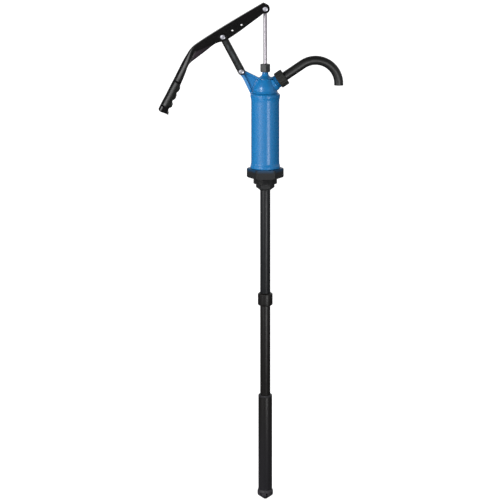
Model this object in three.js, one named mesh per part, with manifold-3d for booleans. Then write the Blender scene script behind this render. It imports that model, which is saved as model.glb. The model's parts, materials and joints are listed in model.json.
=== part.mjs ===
// Lever-action barrel pump for a 200 litre drum. Millimetres, +Z up.
// The origin is on the pump axis at the flat tip of the foot. The lever is at -X, the spout at +X.
// Heights are measured from the seat under the bung hexagon, SEAT_Z above the origin.
import * as THREE from 'three';
import { mergeVertices } from 'three/addons/utils/BufferGeometryUtils.js';
import Module from 'manifold-3d';

const wasm = await Module();
wasm.setup();
const radians = THREE.MathUtils.degToRad;

// ---------------------------------------------------------------- shared dimensions
const SEAT_Z = 803;
const GAP = 0.3; // between pieces that touch

// Pins along Y, as [x, z] with the piston at the top of its stroke
const ROD_PIN = [0, 421];
const FULCRUM = [-105.9, 351.5];
const LUG_PIN = [-59.6, 264.75];

const BARREL_Z0 = 23.1;
const BARREL_Z1 = 201.5;
const NECK_R = 6.75;
const NECK_TOP = 272;
const ROD_R = 4.75;
const ROD_HOLE_R = ROD_R + GAP;
const TUBE_R = 12.7;
const TUBE_HOLE_R = TUBE_R + GAP;

// The outlet port starts on the pump axis at PORT_Z and rises towards +X.
const PORT_Z = 218.5;
const PORT_ANGLE = radians(34.1);
const PORT_TILT = Math.PI / 2 - PORT_ANGLE;
const PORT_END = 49.2; // along the port

const LEVER_HALF = 15; // half width in Y
const LEVER_SHEET = 2.5;
const LINK_HALF = 12; // half thickness in Y
const BOLT_R = 4;
const BOLT_HOLE_R = BOLT_R + GAP;

// Mesh rotations that lay a piece built about Z along +Y, or along the port
const ALONG_Y = [-Math.PI / 2, 0, 0];
const ALONG_PORT = [0, PORT_TILT, 0];

// ---------------------------------------------------------------- finishes
const BLUE = 0x3585c3;
const BLACK = 0x131315;
const DARK_GREY = 0x3a3a3b;
const TUBE_BROWN = 0x252120;
const ZINC = 0xb9bcc2;
const RUBBER = 0x1b1b1c;
const BRASS = 0xb08d4a;
const PLASTIC = 0x282424;

const FINISH = {
  body: { color: BLUE, roughness: 0.35, metalness: 0.1 },
  base: { color: DARK_GREY, roughness: 0.55, metalness: 0.6 },
  tubeNut: { color: DARK_GREY, roughness: 0.55, metalness: 0.5 },
  glandNut: { color: DARK_GREY, roughness: 0.5, metalness: 0.5 },
  unionNut: { color: DARK_GREY, roughness: 0.6, metalness: 0.2 },
  collar: { color: DARK_GREY, roughness: 0.5, metalness: 0.4 },
  upperTube: { color: 0x2a2e32, roughness: 0.4, metalness: 0.4 },
  lowerTube: { color: TUBE_BROWN, roughness: 0.4, metalness: 0.4 },
  coupling: { color: TUBE_BROWN, roughness: 0.45, metalness: 0.4 },
  sleeve: { color: TUBE_BROWN, roughness: 0.45, metalness: 0.3 },
  rod: { color: 0xc9cbd0, roughness: 0.15, metalness: 1 },
  fastener: { color: ZINC, roughness: 0.3, metalness: 0.9 },
  zincPart: { color: ZINC, roughness: 0.35, metalness: 0.9 },
  seal: { color: RUBBER, roughness: 0.75, metalness: 0 },
  packing: { color: RUBBER, roughness: 0.7, metalness: 0 },
  brass: { color: BRASS, roughness: 0.4, metalness: 0.9 },
  valve: { color: BRASS, roughness: 0.35, metalness: 0.9 },
  piston: { color: BRASS, roughness: 0.4, metalness: 0.8 },
  lever: { color: BLACK, roughness: 0.25, metalness: 0.3 },
  blackPart: { color: BLACK, roughness: 0.35, metalness: 0.3 },
  blackWasher: { color: BLACK, roughness: 0.3, metalness: 0.4 },
  cap: { color: PLASTIC, roughness: 0.5, metalness: 0 },
  strainer: { color: PLASTIC, roughness: 0.6, metalness: 0 },
};

// ---------------------------------------------------------------- solids
// Welds a closed geometry, turns its faces outwards and makes a manifold of it.
function toManifold(geometry) {
  const bare = geometry.clone();
  bare.deleteAttribute('normal');
  bare.deleteAttribute('uv');
  const welded = mergeVertices(bare, 1e-4);
  const position = welded.attributes.position;
  const index = welded.index.array;
  const corners = [];
  const [p, q, r] = [new THREE.Vector3(), new THREE.Vector3(), new THREE.Vector3()];
  let volume = 0;
  for (let i = 0; i < index.length; i += 3) {
    const [a, b, c] = index.slice(i, i + 3);
    if (a === b || b === c || a === c) continue;
    corners.push(a, b, c);
    p.fromBufferAttribute(position, a);
    q.fromBufferAttribute(position, b);
    r.fromBufferAttribute(position, c);
    volume += p.dot(q.cross(r));
  }
  if (volume < 0) {
    for (let i = 0; i < corners.length; i += 3) {
      [corners[i + 1], corners[i + 2]] = [corners[i + 2], corners[i + 1]];
    }
  }
  return new wasm.Manifold(new wasm.Mesh({
    numProp: 3,
    vertProperties: new Float32Array(position.array),
    triVerts: new Uint32Array(corners),
  }));
}

function toGeometry(manifold) {
  const mesh = manifold.getMesh();
  const geometry = new THREE.BufferGeometry();
  const positions = new Float32Array(mesh.vertProperties);
  geometry.setAttribute('position', new THREE.BufferAttribute(positions, 3));
  geometry.setIndex(new THREE.BufferAttribute(new Uint32Array(mesh.triVerts), 1));
  geometry.computeVertexNormals();
  return geometry;
}

// These take geometries and manifolds alike.
const asManifold = (shape) => (shape instanceof THREE.BufferGeometry ? toManifold(shape) : shape);
const cut = (base, ...tools) =>
  tools.reduce((rest, tool) => rest.subtract(asManifold(tool)), asManifold(base));
const join = (base, ...more) =>
  more.reduce((sum, part) => sum.add(asManifold(part)), asManifold(base));
const common = (one, other) => asManifold(one).intersect(asManifold(other));

// ---------------------------------------------------------------- basic shapes
// A turned piece about Z from [radius, height] corners.
// The outline is closed unless both ends lie on the axis.
function turned(profile, segments = 26) {
  const points = profile.map(([radius, z]) => new THREE.Vector2(radius, z));
  if (profile[0][0] > 0 || profile.at(-1)[0] > 0) points.push(points[0].clone());
  return new THREE.LatheGeometry(points, segments).rotateX(Math.PI / 2);
}

const disc = (radius, z0, z1, segments) =>
  turned([[0, z0], [radius, z0], [radius, z1], [0, z1]], segments);

const ring = (outer, inner, z0, z1, segments) =>
  turned([[inner, z0], [outer, z0], [outer, z1], [inner, z1]], segments);

// A six-sided prism about Z. At turn 0, in degrees, two corners lie on the X axis.
function hex(acrossFlats, z0, z1, turn = 0) {
  const cornerR = acrossFlats / Math.sqrt(3);
  return new THREE.CylinderGeometry(cornerR, cornerR, z1 - z0, 6)
    .rotateX(Math.PI / 2)
    .rotateZ(Math.PI / 6 + radians(turn))
    .translate(0, 0, (z0 + z1) / 2);
}

const vectors = (outline) => outline.map(([x, y]) => new THREE.Vector2(x, y));

// A plate whose outline is drawn in X and Z, between two values of Y.
function plate(outline, y0, y1) {
  const options = { depth: y1 - y0, bevelEnabled: false };
  return new THREE.ExtrudeGeometry(new THREE.Shape(vectors(outline)), options)
    .rotateX(Math.PI / 2)
    .translate(0, y1, 0);
}

// Points on a circle or an arc, angles in degrees. A full circle doesn't repeat its first point.
function arc(x, z, radius, steps, from = 0, to = 360) {
  const count = to - from === 360 ? steps : steps + 1;
  return Array.from({ length: count }, (_, i) => {
    const angle = radians(from + ((to - from) * i) / steps);
    return [x + radius * Math.cos(angle), z + radius * Math.sin(angle)];
  });
}

const crossPin = (radius, [x, z], y0, y1, segments = 24) =>
  disc(radius, y0, y1, segments).rotateX(-Math.PI / 2).translate(x, 0, z);

const box = ([x0, x1], [y0, y1], [z0, z1]) =>
  new THREE.BoxGeometry(x1 - x0, y1 - y0, z1 - z0)
    .translate((x0 + x1) / 2, (y0 + y1) / 2, (z0 + z1) / 2);

// ---------------------------------------------------------------- groups and meshes
const group = new THREE.Group();
group.name = 'barrel_pump';
const seat = new THREE.Group();
seat.name = 'seat';
seat.position.z = SEAT_Z;
group.add(seat);

function subGroup(name, x = 0, z = 0) {
  const child = new THREE.Group();
  child.name = name;
  child.position.set(x, 0, z);
  seat.add(child);
  return child;
}

function add(parent, name, shape, finish, { position = [0, 0, 0], rotation = [0, 0, 0] } = {}) {
  const material = new THREE.MeshStandardMaterial(finish);
  const mesh = new THREE.Mesh(toGeometry(asManifold(shape)), material);
  mesh.name = name;
  mesh.position.set(...position);
  mesh.rotation.set(...rotation);
  parent.add(mesh);
}

// A bolt along Y with its head at -Y, and its nut at +Y.
// The clamped faces lie at -face and +face; length includes the head.
function addBoltAndNut(parent, name, [x, z], face, length) {
  const acrossFlats = 13;
  const headH = 5.3;
  const nutH = 6.5;
  const roundR = 7.6; // trims the corners only at the outer edge
  const edgeR = 6.6;
  const head = common(hex(acrossFlats, 0, headH),
    turned([[0, 0], [edgeR, 0], [roundR, 1], [roundR, headH], [0, headH]], 18));
  const nut = common(hex(acrossFlats, 0, nutH),
    turned([[0, 0], [roundR, 0], [roundR, nutH - 1], [edgeR, nutH], [0, nutH]], 24));
  add(parent, `${name}_bolt`, join(head, disc(BOLT_R, 5, length, 18)), FINISH.fastener,
    { position: [x, -face - headH - GAP, z], rotation: ALONG_Y });
  add(parent, `${name}_nut`, cut(nut, disc(BOLT_HOLE_R, -1, 8, 20)), FINISH.fastener,
    { position: [x, face + GAP, z], rotation: ALONG_Y });
}

// ---------------------------------------------------------------- drum adaptor
function bungNut() {
  const height = 22.8;
  const threadR = 29.8;
  const threadEnd = -15;
  const hexagon = common(hex(80.1, 0, height), turned([
    [0, -2], [45.4, -2], [45.4, 0.6], [47, 1.6], [47, 19.8], [41.6, height], [0, height]], 36));
  const thread = turned([
    [0, threadEnd], [threadR - 1.4, threadEnd], [threadR, threadEnd + 1.6], [threadR, 1], [0, 1]], 36);
  const bore = turned([[0, -16], [21.3, -16], [21.3, -4], [27, -4], [27, 24], [0, 24]], 24);
  return cut(join(hexagon, thread), bore);
}
add(subGroup('drum_adaptor'), 'bung_nut', bungNut(), FINISH.base);

// ---------------------------------------------------------------- pump base and barrel
const body = subGroup('pump_body');

const BASE_PROFILE = [
  [TUBE_HOLE_R, -14.7], [21, -14.7], [21, -3.7], [26.7, -3.7], [26.7, 23.4], [30.7, 23.4],
  [30.7, 28], [28.4, 28], [28.4, 31.6], [30.7, 31.6], [30.7, 38], [20, 38], [20, 5], [16, 5],
  [16, 8], [12.5, 8], [11.5, 7], [11.5, 2], [TUBE_HOLE_R, 2],
];
add(body, 'pump_base', turned(BASE_PROFILE, 28), FINISH.base);
add(body, 'base_seal', ring(30.7, 28.4 + GAP, 28 + GAP, 31.6 - GAP, 28), FINISH.seal);

// A ring with two crossed bars
function footValveCage() {
  const reach = [-17.5, 17.5];
  const width = [-2.4, 2.4];
  const height = [18.6, 22];
  return join(ring(19.7, 16.2, 17, 22), box(reach, width, height), box(width, reach, height));
}
add(body, 'foot_valve_cage', footValveCage(), FINISH.brass);

function barrel() {
  const boreR = 31;
  const rimR = 37.25;
  const wallR = 35;
  const height = BARREL_Z1 - BARREL_Z0;
  return turned([
    [boreR, 0], [rimR, 0], [rimR, 3.4], [36.3, 7], [35.3, 10.4], [wallR, 12.4], [wallR, 171.2],
    [34.3, 171.9], [33, 171.9], [33, height], [boreR, height]], 36);
}
add(body, 'barrel', barrel(), FINISH.body, { position: [0, 0, BARREL_Z0] });
add(body, 'head_seal', ring(33, 31.2, BARREL_Z1 + GAP, 203.3, 28), FINISH.seal);

// ---------------------------------------------------------------- suction tubes
const TUBE_BORE_R = TUBE_R - 1.5;
const TUBE_SPLIT = -304.2;
const SPLIT_HALF_GAP = 0.2;
const UPPER_TUBE_L = 305.7;
const COUPLING_L = 31.2;

function suctionTubeNut() {
  const height = 13.7;
  const rounding = turned([
    [0, 0], [14.8, 0], [19.6, 3.2], [22.4, 4.6], [23.4, 5.6], [23.4, 12.6], [22.2, height],
    [0, height]]);
  return cut(common(hex(40, 0, height), rounding), disc(TUBE_HOLE_R, -1, 15));
}
add(body, 'suction_tube_nut', suctionTubeNut(), FINISH.tubeNut, { position: [0, 0, -29] });
add(body, 'suction_tube_upper', ring(TUBE_R, TUBE_BORE_R, 0, UPPER_TUBE_L, 28), FINISH.upperTube,
  { position: [0, 0, TUBE_SPLIT + SPLIT_HALF_GAP] });
add(body, 'tube_coupling', turned([
  [TUBE_HOLE_R, 0], [17.3, 0], [18.5, 1.6], [18.5, 29.6], [17.3, COUPLING_L],
  [TUBE_HOLE_R, COUPLING_L]]), FINISH.coupling, { position: [0, 0, -320] });
add(body, 'suction_tube_lower',
  ring(TUBE_R, TUBE_BORE_R, -568, TUBE_SPLIT - SPLIT_HALF_GAP, 28), FINISH.lowerTube);
add(body, 'tube_stop_ring', ring(15.2, TUBE_HOLE_R, -566, -556.8, 28), FINISH.brass);

// ---------------------------------------------------------------- head
const HEAD_R = 36.6;
const HEAD_Z0 = 195.3;
const HEAD_SKIRT_R = HEAD_R - 0.6;
const PORT_R = 17;
const PORT_BORE_R = 11;
const BOSS_R = 18.6; // thicker root of the port

// [radius, z]
const HEAD_PROFILE = [
  [0, HEAD_Z0], [HEAD_SKIRT_R, HEAD_Z0], [HEAD_SKIRT_R, 204.8], [HEAD_R, 205.4], [HEAD_R, 206.6],
  [31.4, 212], [28.4, 216.4], [27.6, 221], [26.8, 230], [25.2, 237.5], [22.8, 243],
  [20.4, 246.2], [14.6, 249.6], [8.6, 254.6], [NECK_R, 259], [NECK_R, NECK_TOP], [0, NECK_TOP],
];
const HEAD_CAVITY = [
  [0, 190], [33.3, 190], [33.3, 203.6], [28, 203.6], [27.4, 207.5], [24.4, 213.5], [23, 221],
  [21.6, 231], [18.6, 237.6], [13, 242], [ROD_HOLE_R, 244.6], [ROD_HOLE_R, 280], [0, 280],
];
// [x, z] up the -X edge of the link bracket
const BRACKET_EDGE = [
  [-36.6, 207.5], [-38.1, 212.5], [-40.6, 217.5], [-45.4, 227.5], [-50.1, 237.5],
];

// A thin web with a thicker rib along each edge, meeting at the lug
function linkBracket() {
  const [x, z] = LUG_PIN;
  const ribHalf = 6.5;
  const web = plate([
    [-20, 207.5], ...BRACKET_EDGE, [-54.8, 247.5], [-61.1, 257.5],
    [x - 3, z + 2], [x + 4, z + 2], [-53.1, 264], [-20, 247]], -3, 3);
  const leverSideRib = plate([
    [-30, 207.5], ...BRACKET_EDGE, [-55.4, 247.5], [-63, 257.5],
    [x - 7, z], [x + 3, z + 2], [-51.5, 248.5], [-42.5, 231], [-34, 214]], -ribHalf, ribHalf);
  const topRib = plate([
    [x - 1, z + 4], [x + 3, z + 7], [-52.4, 267], [-16, 247.6], [-16, 240], [x + 6, z - 5]],
  -ribHalf, ribHalf);
  return [web, leverSideRib, topRib, crossPin(9, LUG_PIN, -ribHalf, ribHalf, 28)];
}

function pumpHead() {
  const alongPort = (geometry) => geometry.rotateY(PORT_TILT).translate(0, 0, PORT_Z);
  const port = alongPort(turned([
    [0, 6], [PORT_R, 6], [PORT_R, PORT_END - 1], [PORT_R - 1, PORT_END], [0, PORT_END]]));
  const boss = alongPort(turned([[0, 6], [BOSS_R, 6], [BOSS_R, 30.2], [PORT_R, 33], [0, 33]]));
  return cut(join(turned(HEAD_PROFILE, 36), port, boss, ...linkBracket()),
    turned(HEAD_CAVITY, 28),
    alongPort(disc(PORT_BORE_R, 0, 60, 24)),
    crossPin(BOLT_HOLE_R, LUG_PIN, -12, 12));
}
add(body, 'pump_head', pumpHead(), FINISH.body);

// ---------------------------------------------------------------- gland
const PACKING_TOP = 275.5;
add(body, 'gland_packing', ring(NECK_R, ROD_HOLE_R, NECK_TOP + GAP, PACKING_TOP, 24),
  FINISH.packing);
add(body, 'gland_washer', ring(NECK_R, ROD_HOLE_R, PACKING_TOP + GAP, 278.3, 24), FINISH.brass);

function glandNut() {
  const height = 20;
  const boreR = NECK_R + GAP;
  const shoulder = 15.8; // the bore narrows to the rod above this
  const rounding = turned([
    [0, 0], [11.4, 0], [12.4, 0.9], [12.4, height - 1], [11.2, height], [0, height]]);
  return cut(common(hex(21.3, 0, height, 39), rounding), turned([
    [0, -1], [boreR, -1], [boreR, shoulder], [ROD_HOLE_R, shoulder], [ROD_HOLE_R, height + 1],
    [0, height + 1]], 24));
}
add(body, 'gland_nut', glandNut(), FINISH.glandNut, { position: [0, 0, 262.8] });

addBoltAndNut(body, 'bracket', LUG_PIN, LINK_HALF, 38);

// ---------------------------------------------------------------- piston and rod
const piston = subGroup('piston_group');
const ROD_END = 157;
const ROD_TOP = 415.6;
const ROD_TIP_R = 3.9;
const EYE_HALF = 8; // half thickness in Y

add(piston, 'piston_rod', turned([
  [0, ROD_END], [ROD_TIP_R, ROD_END], [ROD_R, ROD_END + 1],
  [ROD_R, ROD_TOP - 1], [ROD_TIP_R, ROD_TOP], [0, ROD_TOP]], 24), FINISH.rod);

// A cylinder along Y, bored for the bolt and, from below, for the rod
function rodEye() {
  return cut(crossPin(9.8, [0, 0], -EYE_HALF, EYE_HALF, 28),
    crossPin(BOLT_HOLE_R, [0, 0], -12, 12, 20),
    disc(ROD_HOLE_R, -20, ROD_TOP + GAP - ROD_PIN[1], 20));
}
add(piston, 'rod_eye', rodEye(), FINISH.zincPart, { position: [ROD_PIN[0], 0, ROD_PIN[1]] });

// Grooved around its rim, with six holes through it
function pistonDisc() {
  const rimR = 30.2;
  const grooveR = 26;
  const height = 18;
  const blank = turned([
    [ROD_HOLE_R, 0], [rimR - 1, 0], [rimR, 1], [rimR, 3.7], [grooveR, 3.7], [grooveR, 12.3],
    [rimR, 12.3], [rimR, height - 1], [rimR - 1, height], [ROD_HOLE_R, height]], 24);
  const holes = Array.from({ length: 6 }, (_, i) =>
    disc(4.5, -1, height + 1, 14).translate(16, 0, 0).rotateZ((i * Math.PI) / 3));
  return cut(blank, ...holes);
}
add(piston, 'piston', pistonDisc(), FINISH.piston, { position: [0, 0, 168] });
add(piston, 'piston_cup', ring(30.7, 26.3, 172, 180, 28), FINISH.packing);
add(piston, 'piston_nut', cut(hex(17, 0, 8.7), disc(ROD_HOLE_R, -1, 10, 24)), FINISH.zincPart,
  { position: [0, 0, 159] });
add(piston, 'valve_stop', ring(10, ROD_HOLE_R, 193, 196, 24), FINISH.zincPart);

add(subGroup('piston_valve_group'), 'piston_valve', ring(23.5, 5.3, 186.3, 189.3), FINISH.valve);
add(subGroup('foot_valve_group'), 'foot_valve', disc(18, 8.3, 11.3, 28), FINISH.valve);

// ---------------------------------------------------------------- lever
// [x, z] along the back of the lever, from the rod end down to the tip of the handle
const LEVER_BACK = [
  [-5.0, 436.3], [-62.4, 402.5], [-112.1, 372.5], [-151.6, 347.5], [-166.6, 337.5],
  [-174.0, 332.4], [-180.3, 327.4], [-185.2, 322.4], [-189.4, 317.5], [-192.9, 312.5],
  [-195.9, 307.5], [-204.9, 292.5], [-217.6, 267.5], [-227.6, 247.5], [-238.1, 227.5],
  [-248.1, 207.5], [-258.9, 187.5], [-266.4, 172.4],
];
// [x, z] along the edge facing the pump, from the tip of the handle up to the rod end
const LEVER_PUMP_EDGE = [
  [-265.0, 168.6], [-254.6, 162.6], [-240.9, 156.5], [-242.4, 161.4], [-242.6, 167.5],
  [-239.4, 173.4], [-233.2, 176.6], [-231.6, 180.2], [-232.8, 186.5], [-230.9, 192.5],
  [-225.0, 196.6], [-222.4, 200.6], [-222.2, 206.5], [-220.2, 212.4], [-215.2, 216.6],
  [-213.1, 221.0], [-213.2, 226.4], [-210.9, 232.5], [-204.4, 247.5], [-198.4, 262.5],
  [-192.8, 277.5], [-189.4, 283.6], [-183.4, 289.4], [-166.2, 302.6], [-146.9, 317.4],
  [-128.2, 332.2], [-119, 336.8], [-104, 341.2], [-90.6, 347.6], [-75, 357.6],
  [-60.6, 367.6], [-40.9, 382.4], [-20.4, 397.6], [-8.6, 406.6],
];
const SMALL_HOLES = [[-82.1, 366.25], [-59.4, 380.25]];

// Follows the back at one sheet thickness and runs out past the edge facing the pump.
function leverHollow() {
  const inside = LEVER_BACK.map(([x, z], i) => {
    const before = LEVER_BACK[Math.max(0, i - 1)];
    const after = LEVER_BACK[Math.min(LEVER_BACK.length - 1, i + 1)];
    const dx = after[0] - before[0];
    const dz = after[1] - before[1];
    const length = Math.hypot(dx, dz);
    return [x - (dz / length) * LEVER_SHEET, z + (dx / length) * LEVER_SHEET];
  });
  const [topX, topZ] = inside[0];
  const [tipX, tipZ] = inside.at(-1);
  const outline = [[topX + 40, topZ + 23], ...inside, [tipX - 20, tipZ - 40],
    [tipX + 60, tipZ - 50], [-150, 250], [40, 380]];
  return plate(outline, -LEVER_HALF + LEVER_SHEET, LEVER_HALF - LEVER_SHEET);
}

// A channel open towards the pump, rounded about the rod pin
function leverChannel() {
  const outline = [...LEVER_BACK, ...LEVER_PUMP_EDGE, ...arc(...ROD_PIN, 11.4, 12, -112, 62)];
  const channel = cut(plate(outline, -LEVER_HALF, LEVER_HALF), leverHollow(),
    crossPin(BOLT_HOLE_R, ROD_PIN, -20, 20),
    crossPin(BOLT_HOLE_R, FULCRUM, -20, 20),
    ...SMALL_HOLES.map((at) => crossPin(2.75, at, -20, 20, 16)));
  return toGeometry(channel).translate(-ROD_PIN[0], 0, -ROD_PIN[1]);
}

const lever = subGroup('lever_group', ...ROD_PIN);
add(lever, 'lever', leverChannel(), FINISH.lever);

// Spacers fill the space between the rod eye and the channel walls.
const SPACER_Y0 = EYE_HALF + GAP;
const SPACER_Y1 = LEVER_HALF - LEVER_SHEET - GAP;
addBoltAndNut(lever, 'rod', [0, 0], LEVER_HALF, 44);
for (const [name, y] of [['rod_spacer_front', -SPACER_Y1], ['rod_spacer_rear', SPACER_Y0]]) {
  add(lever, name, ring(7, BOLT_HOLE_R, 0, SPACER_Y1 - SPACER_Y0, 24), FINISH.zincPart,
    { position: [0, y, 0], rotation: ALONG_Y });
}

// Washers lie outside the channel walls.
const WASHER_T = 1.7;
const WASHER_FACE = LEVER_HALF + GAP + WASHER_T;
const LEVER_FULCRUM = [FULCRUM[0] - ROD_PIN[0], FULCRUM[1] - ROD_PIN[1]];
addBoltAndNut(lever, 'fulcrum', LEVER_FULCRUM, WASHER_FACE, 48);
for (const [name, y] of [
  ['fulcrum_washer_front', -WASHER_FACE],
  ['fulcrum_washer_rear', LEVER_HALF + GAP],
]) {
  add(lever, name, ring(9.5, BOLT_HOLE_R, 0, WASHER_T, 24), FINISH.blackWasher,
    { position: [LEVER_FULCRUM[0], y, LEVER_FULCRUM[1]], rotation: ALONG_Y });
}

// ---------------------------------------------------------------- link, bracket to lever
const STROKE = 100;
const LEVER_SWING = radians(-40.839); // over the stroke
const LINK_SWING = radians(14.044); // over the stroke
const LINK_HALF_W = 8.75;
const SLOT_WALL = 3.4;
const FORK_HALF = 6.9; // half the space between the cheeks, in Y
const RECESS_DEPTH = 1.6;

const LINK_X = FULCRUM[0] - LUG_PIN[0];
const LINK_Z = FULCRUM[1] - LUG_PIN[1];
const LINK_L = Math.hypot(LINK_X, LINK_Z);
const LINK_ANGLE = Math.atan2(LINK_Z, LINK_X);

// Places of the fulcrum bolt in the link, as [along, across], as the pump is worked
function fulcrumPath() {
  const steps = 24;
  const arm = Math.hypot(...LEVER_FULCRUM);
  const armAngle = Math.atan2(LEVER_FULCRUM[1], LEVER_FULCRUM[0]);
  return Array.from({ length: steps + 1 }, (_, i) => {
    const part = i / steps;
    const leverAngle = armAngle + LEVER_SWING * part;
    const linkAngle = LINK_ANGLE + LINK_SWING * part;
    const x = ROD_PIN[0] + arm * Math.cos(leverAngle) - LUG_PIN[0];
    const z = ROD_PIN[1] - STROKE * part + arm * Math.sin(leverAngle) - LUG_PIN[1];
    return [
      x * Math.cos(linkAngle) + z * Math.sin(linkAngle),
      -x * Math.sin(linkAngle) + z * Math.cos(linkAngle),
    ];
  });
}

// Drawn with its length along X, then turned to its place. The slot clears the fulcrum bolt.
function linkBar() {
  const path = fulcrumPath();
  const along = path.map((point) => point[0]);
  const across = path.map((point) => point[1]);
  const [low, high] = [Math.min(...across), Math.max(...across)];
  const [near, far] = [Math.min(...along), Math.max(...along)];
  const slotX = (near + far) / 2;
  const slotR = BOLT_HOLE_R + 0.1 + (far - near) / 2;
  const slotOutline = (radius) =>
    [...arc(slotX, high, radius, 12, 0, 180), ...arc(slotX, low, radius, 12, 180, 360)];
  const bar = [
    ...arc(0, 0, LINK_HALF_W, 14, 90, 270), [LINK_L, -LINK_HALF_W], [LINK_L, LINK_HALF_W]];
  const recess = (y) => box([17, LINK_L - 19], y, [-4.6, 4.6]);
  const shape = cut(
    join(plate(bar, -LINK_HALF, LINK_HALF),
      plate(slotOutline(slotR + SLOT_WALL), -LINK_HALF, LINK_HALF)),
    plate(slotOutline(slotR), -20, 20),
    crossPin(BOLT_HOLE_R, [0, 0], -20, 20),
    box([-20, 20], [-FORK_HALF, FORK_HALF], [-20, 20]),
    recess([-20, -LINK_HALF + RECESS_DEPTH]),
    recess([LINK_HALF - RECESS_DEPTH, 20]));
  return toGeometry(shape).rotateY(-LINK_ANGLE);
}
add(subGroup('link_group', ...LUG_PIN), 'link', linkBar(), FINISH.blackPart);

// ---------------------------------------------------------------- outlet union and spout
// Lengths are along the port, from the pump axis.
const SPOUT_R = 11.45;
const SPOUT_BORE_R = 9.9;
const SPOUT_START = 51.6;
const BEND_START = 113;
const BEND_R = 57.7;
const SPOUT_TAIL = 4.8; // straight down after the bend
const UNION_SHOULDER = 55.5;

// Twelve grooves run along its rim.
function unionNut() {
  const outerR = 20.5;
  const boreR = 17.3;
  const mouthR = 11.8;
  const start = 39;
  const end = 59.5;
  const blank = turned([
    [boreR, start], [19.6, start], [outerR, start + 1], [outerR, end - 1.4], [19.3, end],
    [mouthR, end], [mouthR, UNION_SHOULDER], [boreR, UNION_SHOULDER]], 36);
  const grooves = Array.from({ length: 12 }, (_, i) =>
    disc(1.7, start - 1, end + 1, 8)
      .translate(outerR + 0.6, 0, 0)
      .rotateZ((i * Math.PI) / 6 + 0.13));
  return cut(blank, ...grooves);
}
add(subGroup('union_group', 0, PORT_Z), 'union_nut', unionNut(), FINISH.unionNut,
  { rotation: ALONG_PORT });

// The spout centre line: straight along the port, round the bend, then straight down
class SpoutLine extends THREE.Curve {
  getPoint(u, target = new THREE.Vector3()) {
    const [cos, sin] = [Math.cos(PORT_ANGLE), Math.sin(PORT_ANGLE)];
    const straight = BEND_START - SPOUT_START;
    const bend = BEND_R * (PORT_ANGLE + Math.PI / 2);
    const centreX = BEND_START * cos + BEND_R * sin;
    const centreZ = BEND_START * sin - BEND_R * cos;
    const run = u * (straight + bend + SPOUT_TAIL);
    if (run <= straight) return target.set((SPOUT_START + run) * cos, 0, (SPOUT_START + run) * sin);
    if (run <= straight + bend) {
      const angle = Math.PI / 2 + PORT_ANGLE - (run - straight) / BEND_R;
      const x = centreX + BEND_R * Math.cos(angle);
      return target.set(x, 0, centreZ + BEND_R * Math.sin(angle));
    }
    return target.set(centreX + BEND_R, 0, centreZ - (run - straight - bend));
  }
}

function spoutTube() {
  const section = new THREE.Shape(vectors(arc(0, 0, SPOUT_R, 16)));
  section.holes.push(new THREE.Path(vectors(arc(0, 0, SPOUT_BORE_R, 16).reverse())));
  const options = { steps: 22, extrudePath: new SpoutLine(), bevelEnabled: false };
  return new THREE.ExtrudeGeometry(section, options);
}

const spout = subGroup('spout_group', 0, PORT_Z);
add(spout, 'spout_seal', ring(16.7, 11.9, PORT_END + GAP, 51.2, 28), FINISH.seal,
  { rotation: ALONG_PORT });
add(spout, 'spout_collar', ring(16.7, SPOUT_R + GAP, SPOUT_START, UNION_SHOULDER - GAP, 28),
  FINISH.collar, { rotation: ALONG_PORT });
add(spout, 'spout', spoutTube(), FINISH.blackPart);

// ---------------------------------------------------------------- telescopic sleeve and foot
// Drawn at heights from the seat, then moved to the sleeve's own origin at its top.
const SLEEVE_TOP = -542.5;
const SLEEVE_END = -777.7;
const SLEEVE_R = 17.25;
const SLEEVE_BORE_R = 15.5;
const sleeve = subGroup('sleeve_group', 0, SLEEVE_TOP);
const inSleeve = (geometry) => geometry.translate(0, 0, -SLEEVE_TOP);

const CAP_PROFILE = [
  [TUBE_HOLE_R, -556], [15.2, -556], [15.2, -547.5], [SLEEVE_R, -547.5], [SLEEVE_R, -544.6],
  [16.4, -543.1], [14.9, SLEEVE_TOP], [TUBE_HOLE_R, SLEEVE_TOP],
];
const STRAINER_PROFILE = [
  [0, -799.4], [17, -788.6], [17, -784], [13, -779], [13, -766], [15.2, -766], [15.2, -778],
  [17.6, -778], [19.5, -783.4], [19.5, -790], [18.8, -791.6], [4, -SEAT_Z], [0, -SEAT_Z],
];

// Four slots cut right across make eight openings.
function footStrainer() {
  const slots = Array.from({ length: 4 }, (_, i) =>
    inSleeve(box([-30, 30], [-1.7, 1.7], [-794, -784.4]).rotateZ((i * Math.PI) / 4 + 0.2)));
  return cut(inSleeve(turned(STRAINER_PROFILE)), ...slots);
}
add(sleeve, 'sleeve_cap', inSleeve(turned(CAP_PROFILE)), FINISH.cap);
add(sleeve, 'suction_sleeve', inSleeve(ring(SLEEVE_R, SLEEVE_BORE_R, SLEEVE_END, -547.8)),
  FINISH.sleeve);
add(sleeve, 'foot_strainer', footStrainer(), FINISH.strainer);

export default group;
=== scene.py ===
import json
import math
import bmesh
import bpy
import numpy as np
from mathutils import Matrix, Vector, geometry, kdtree

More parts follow.
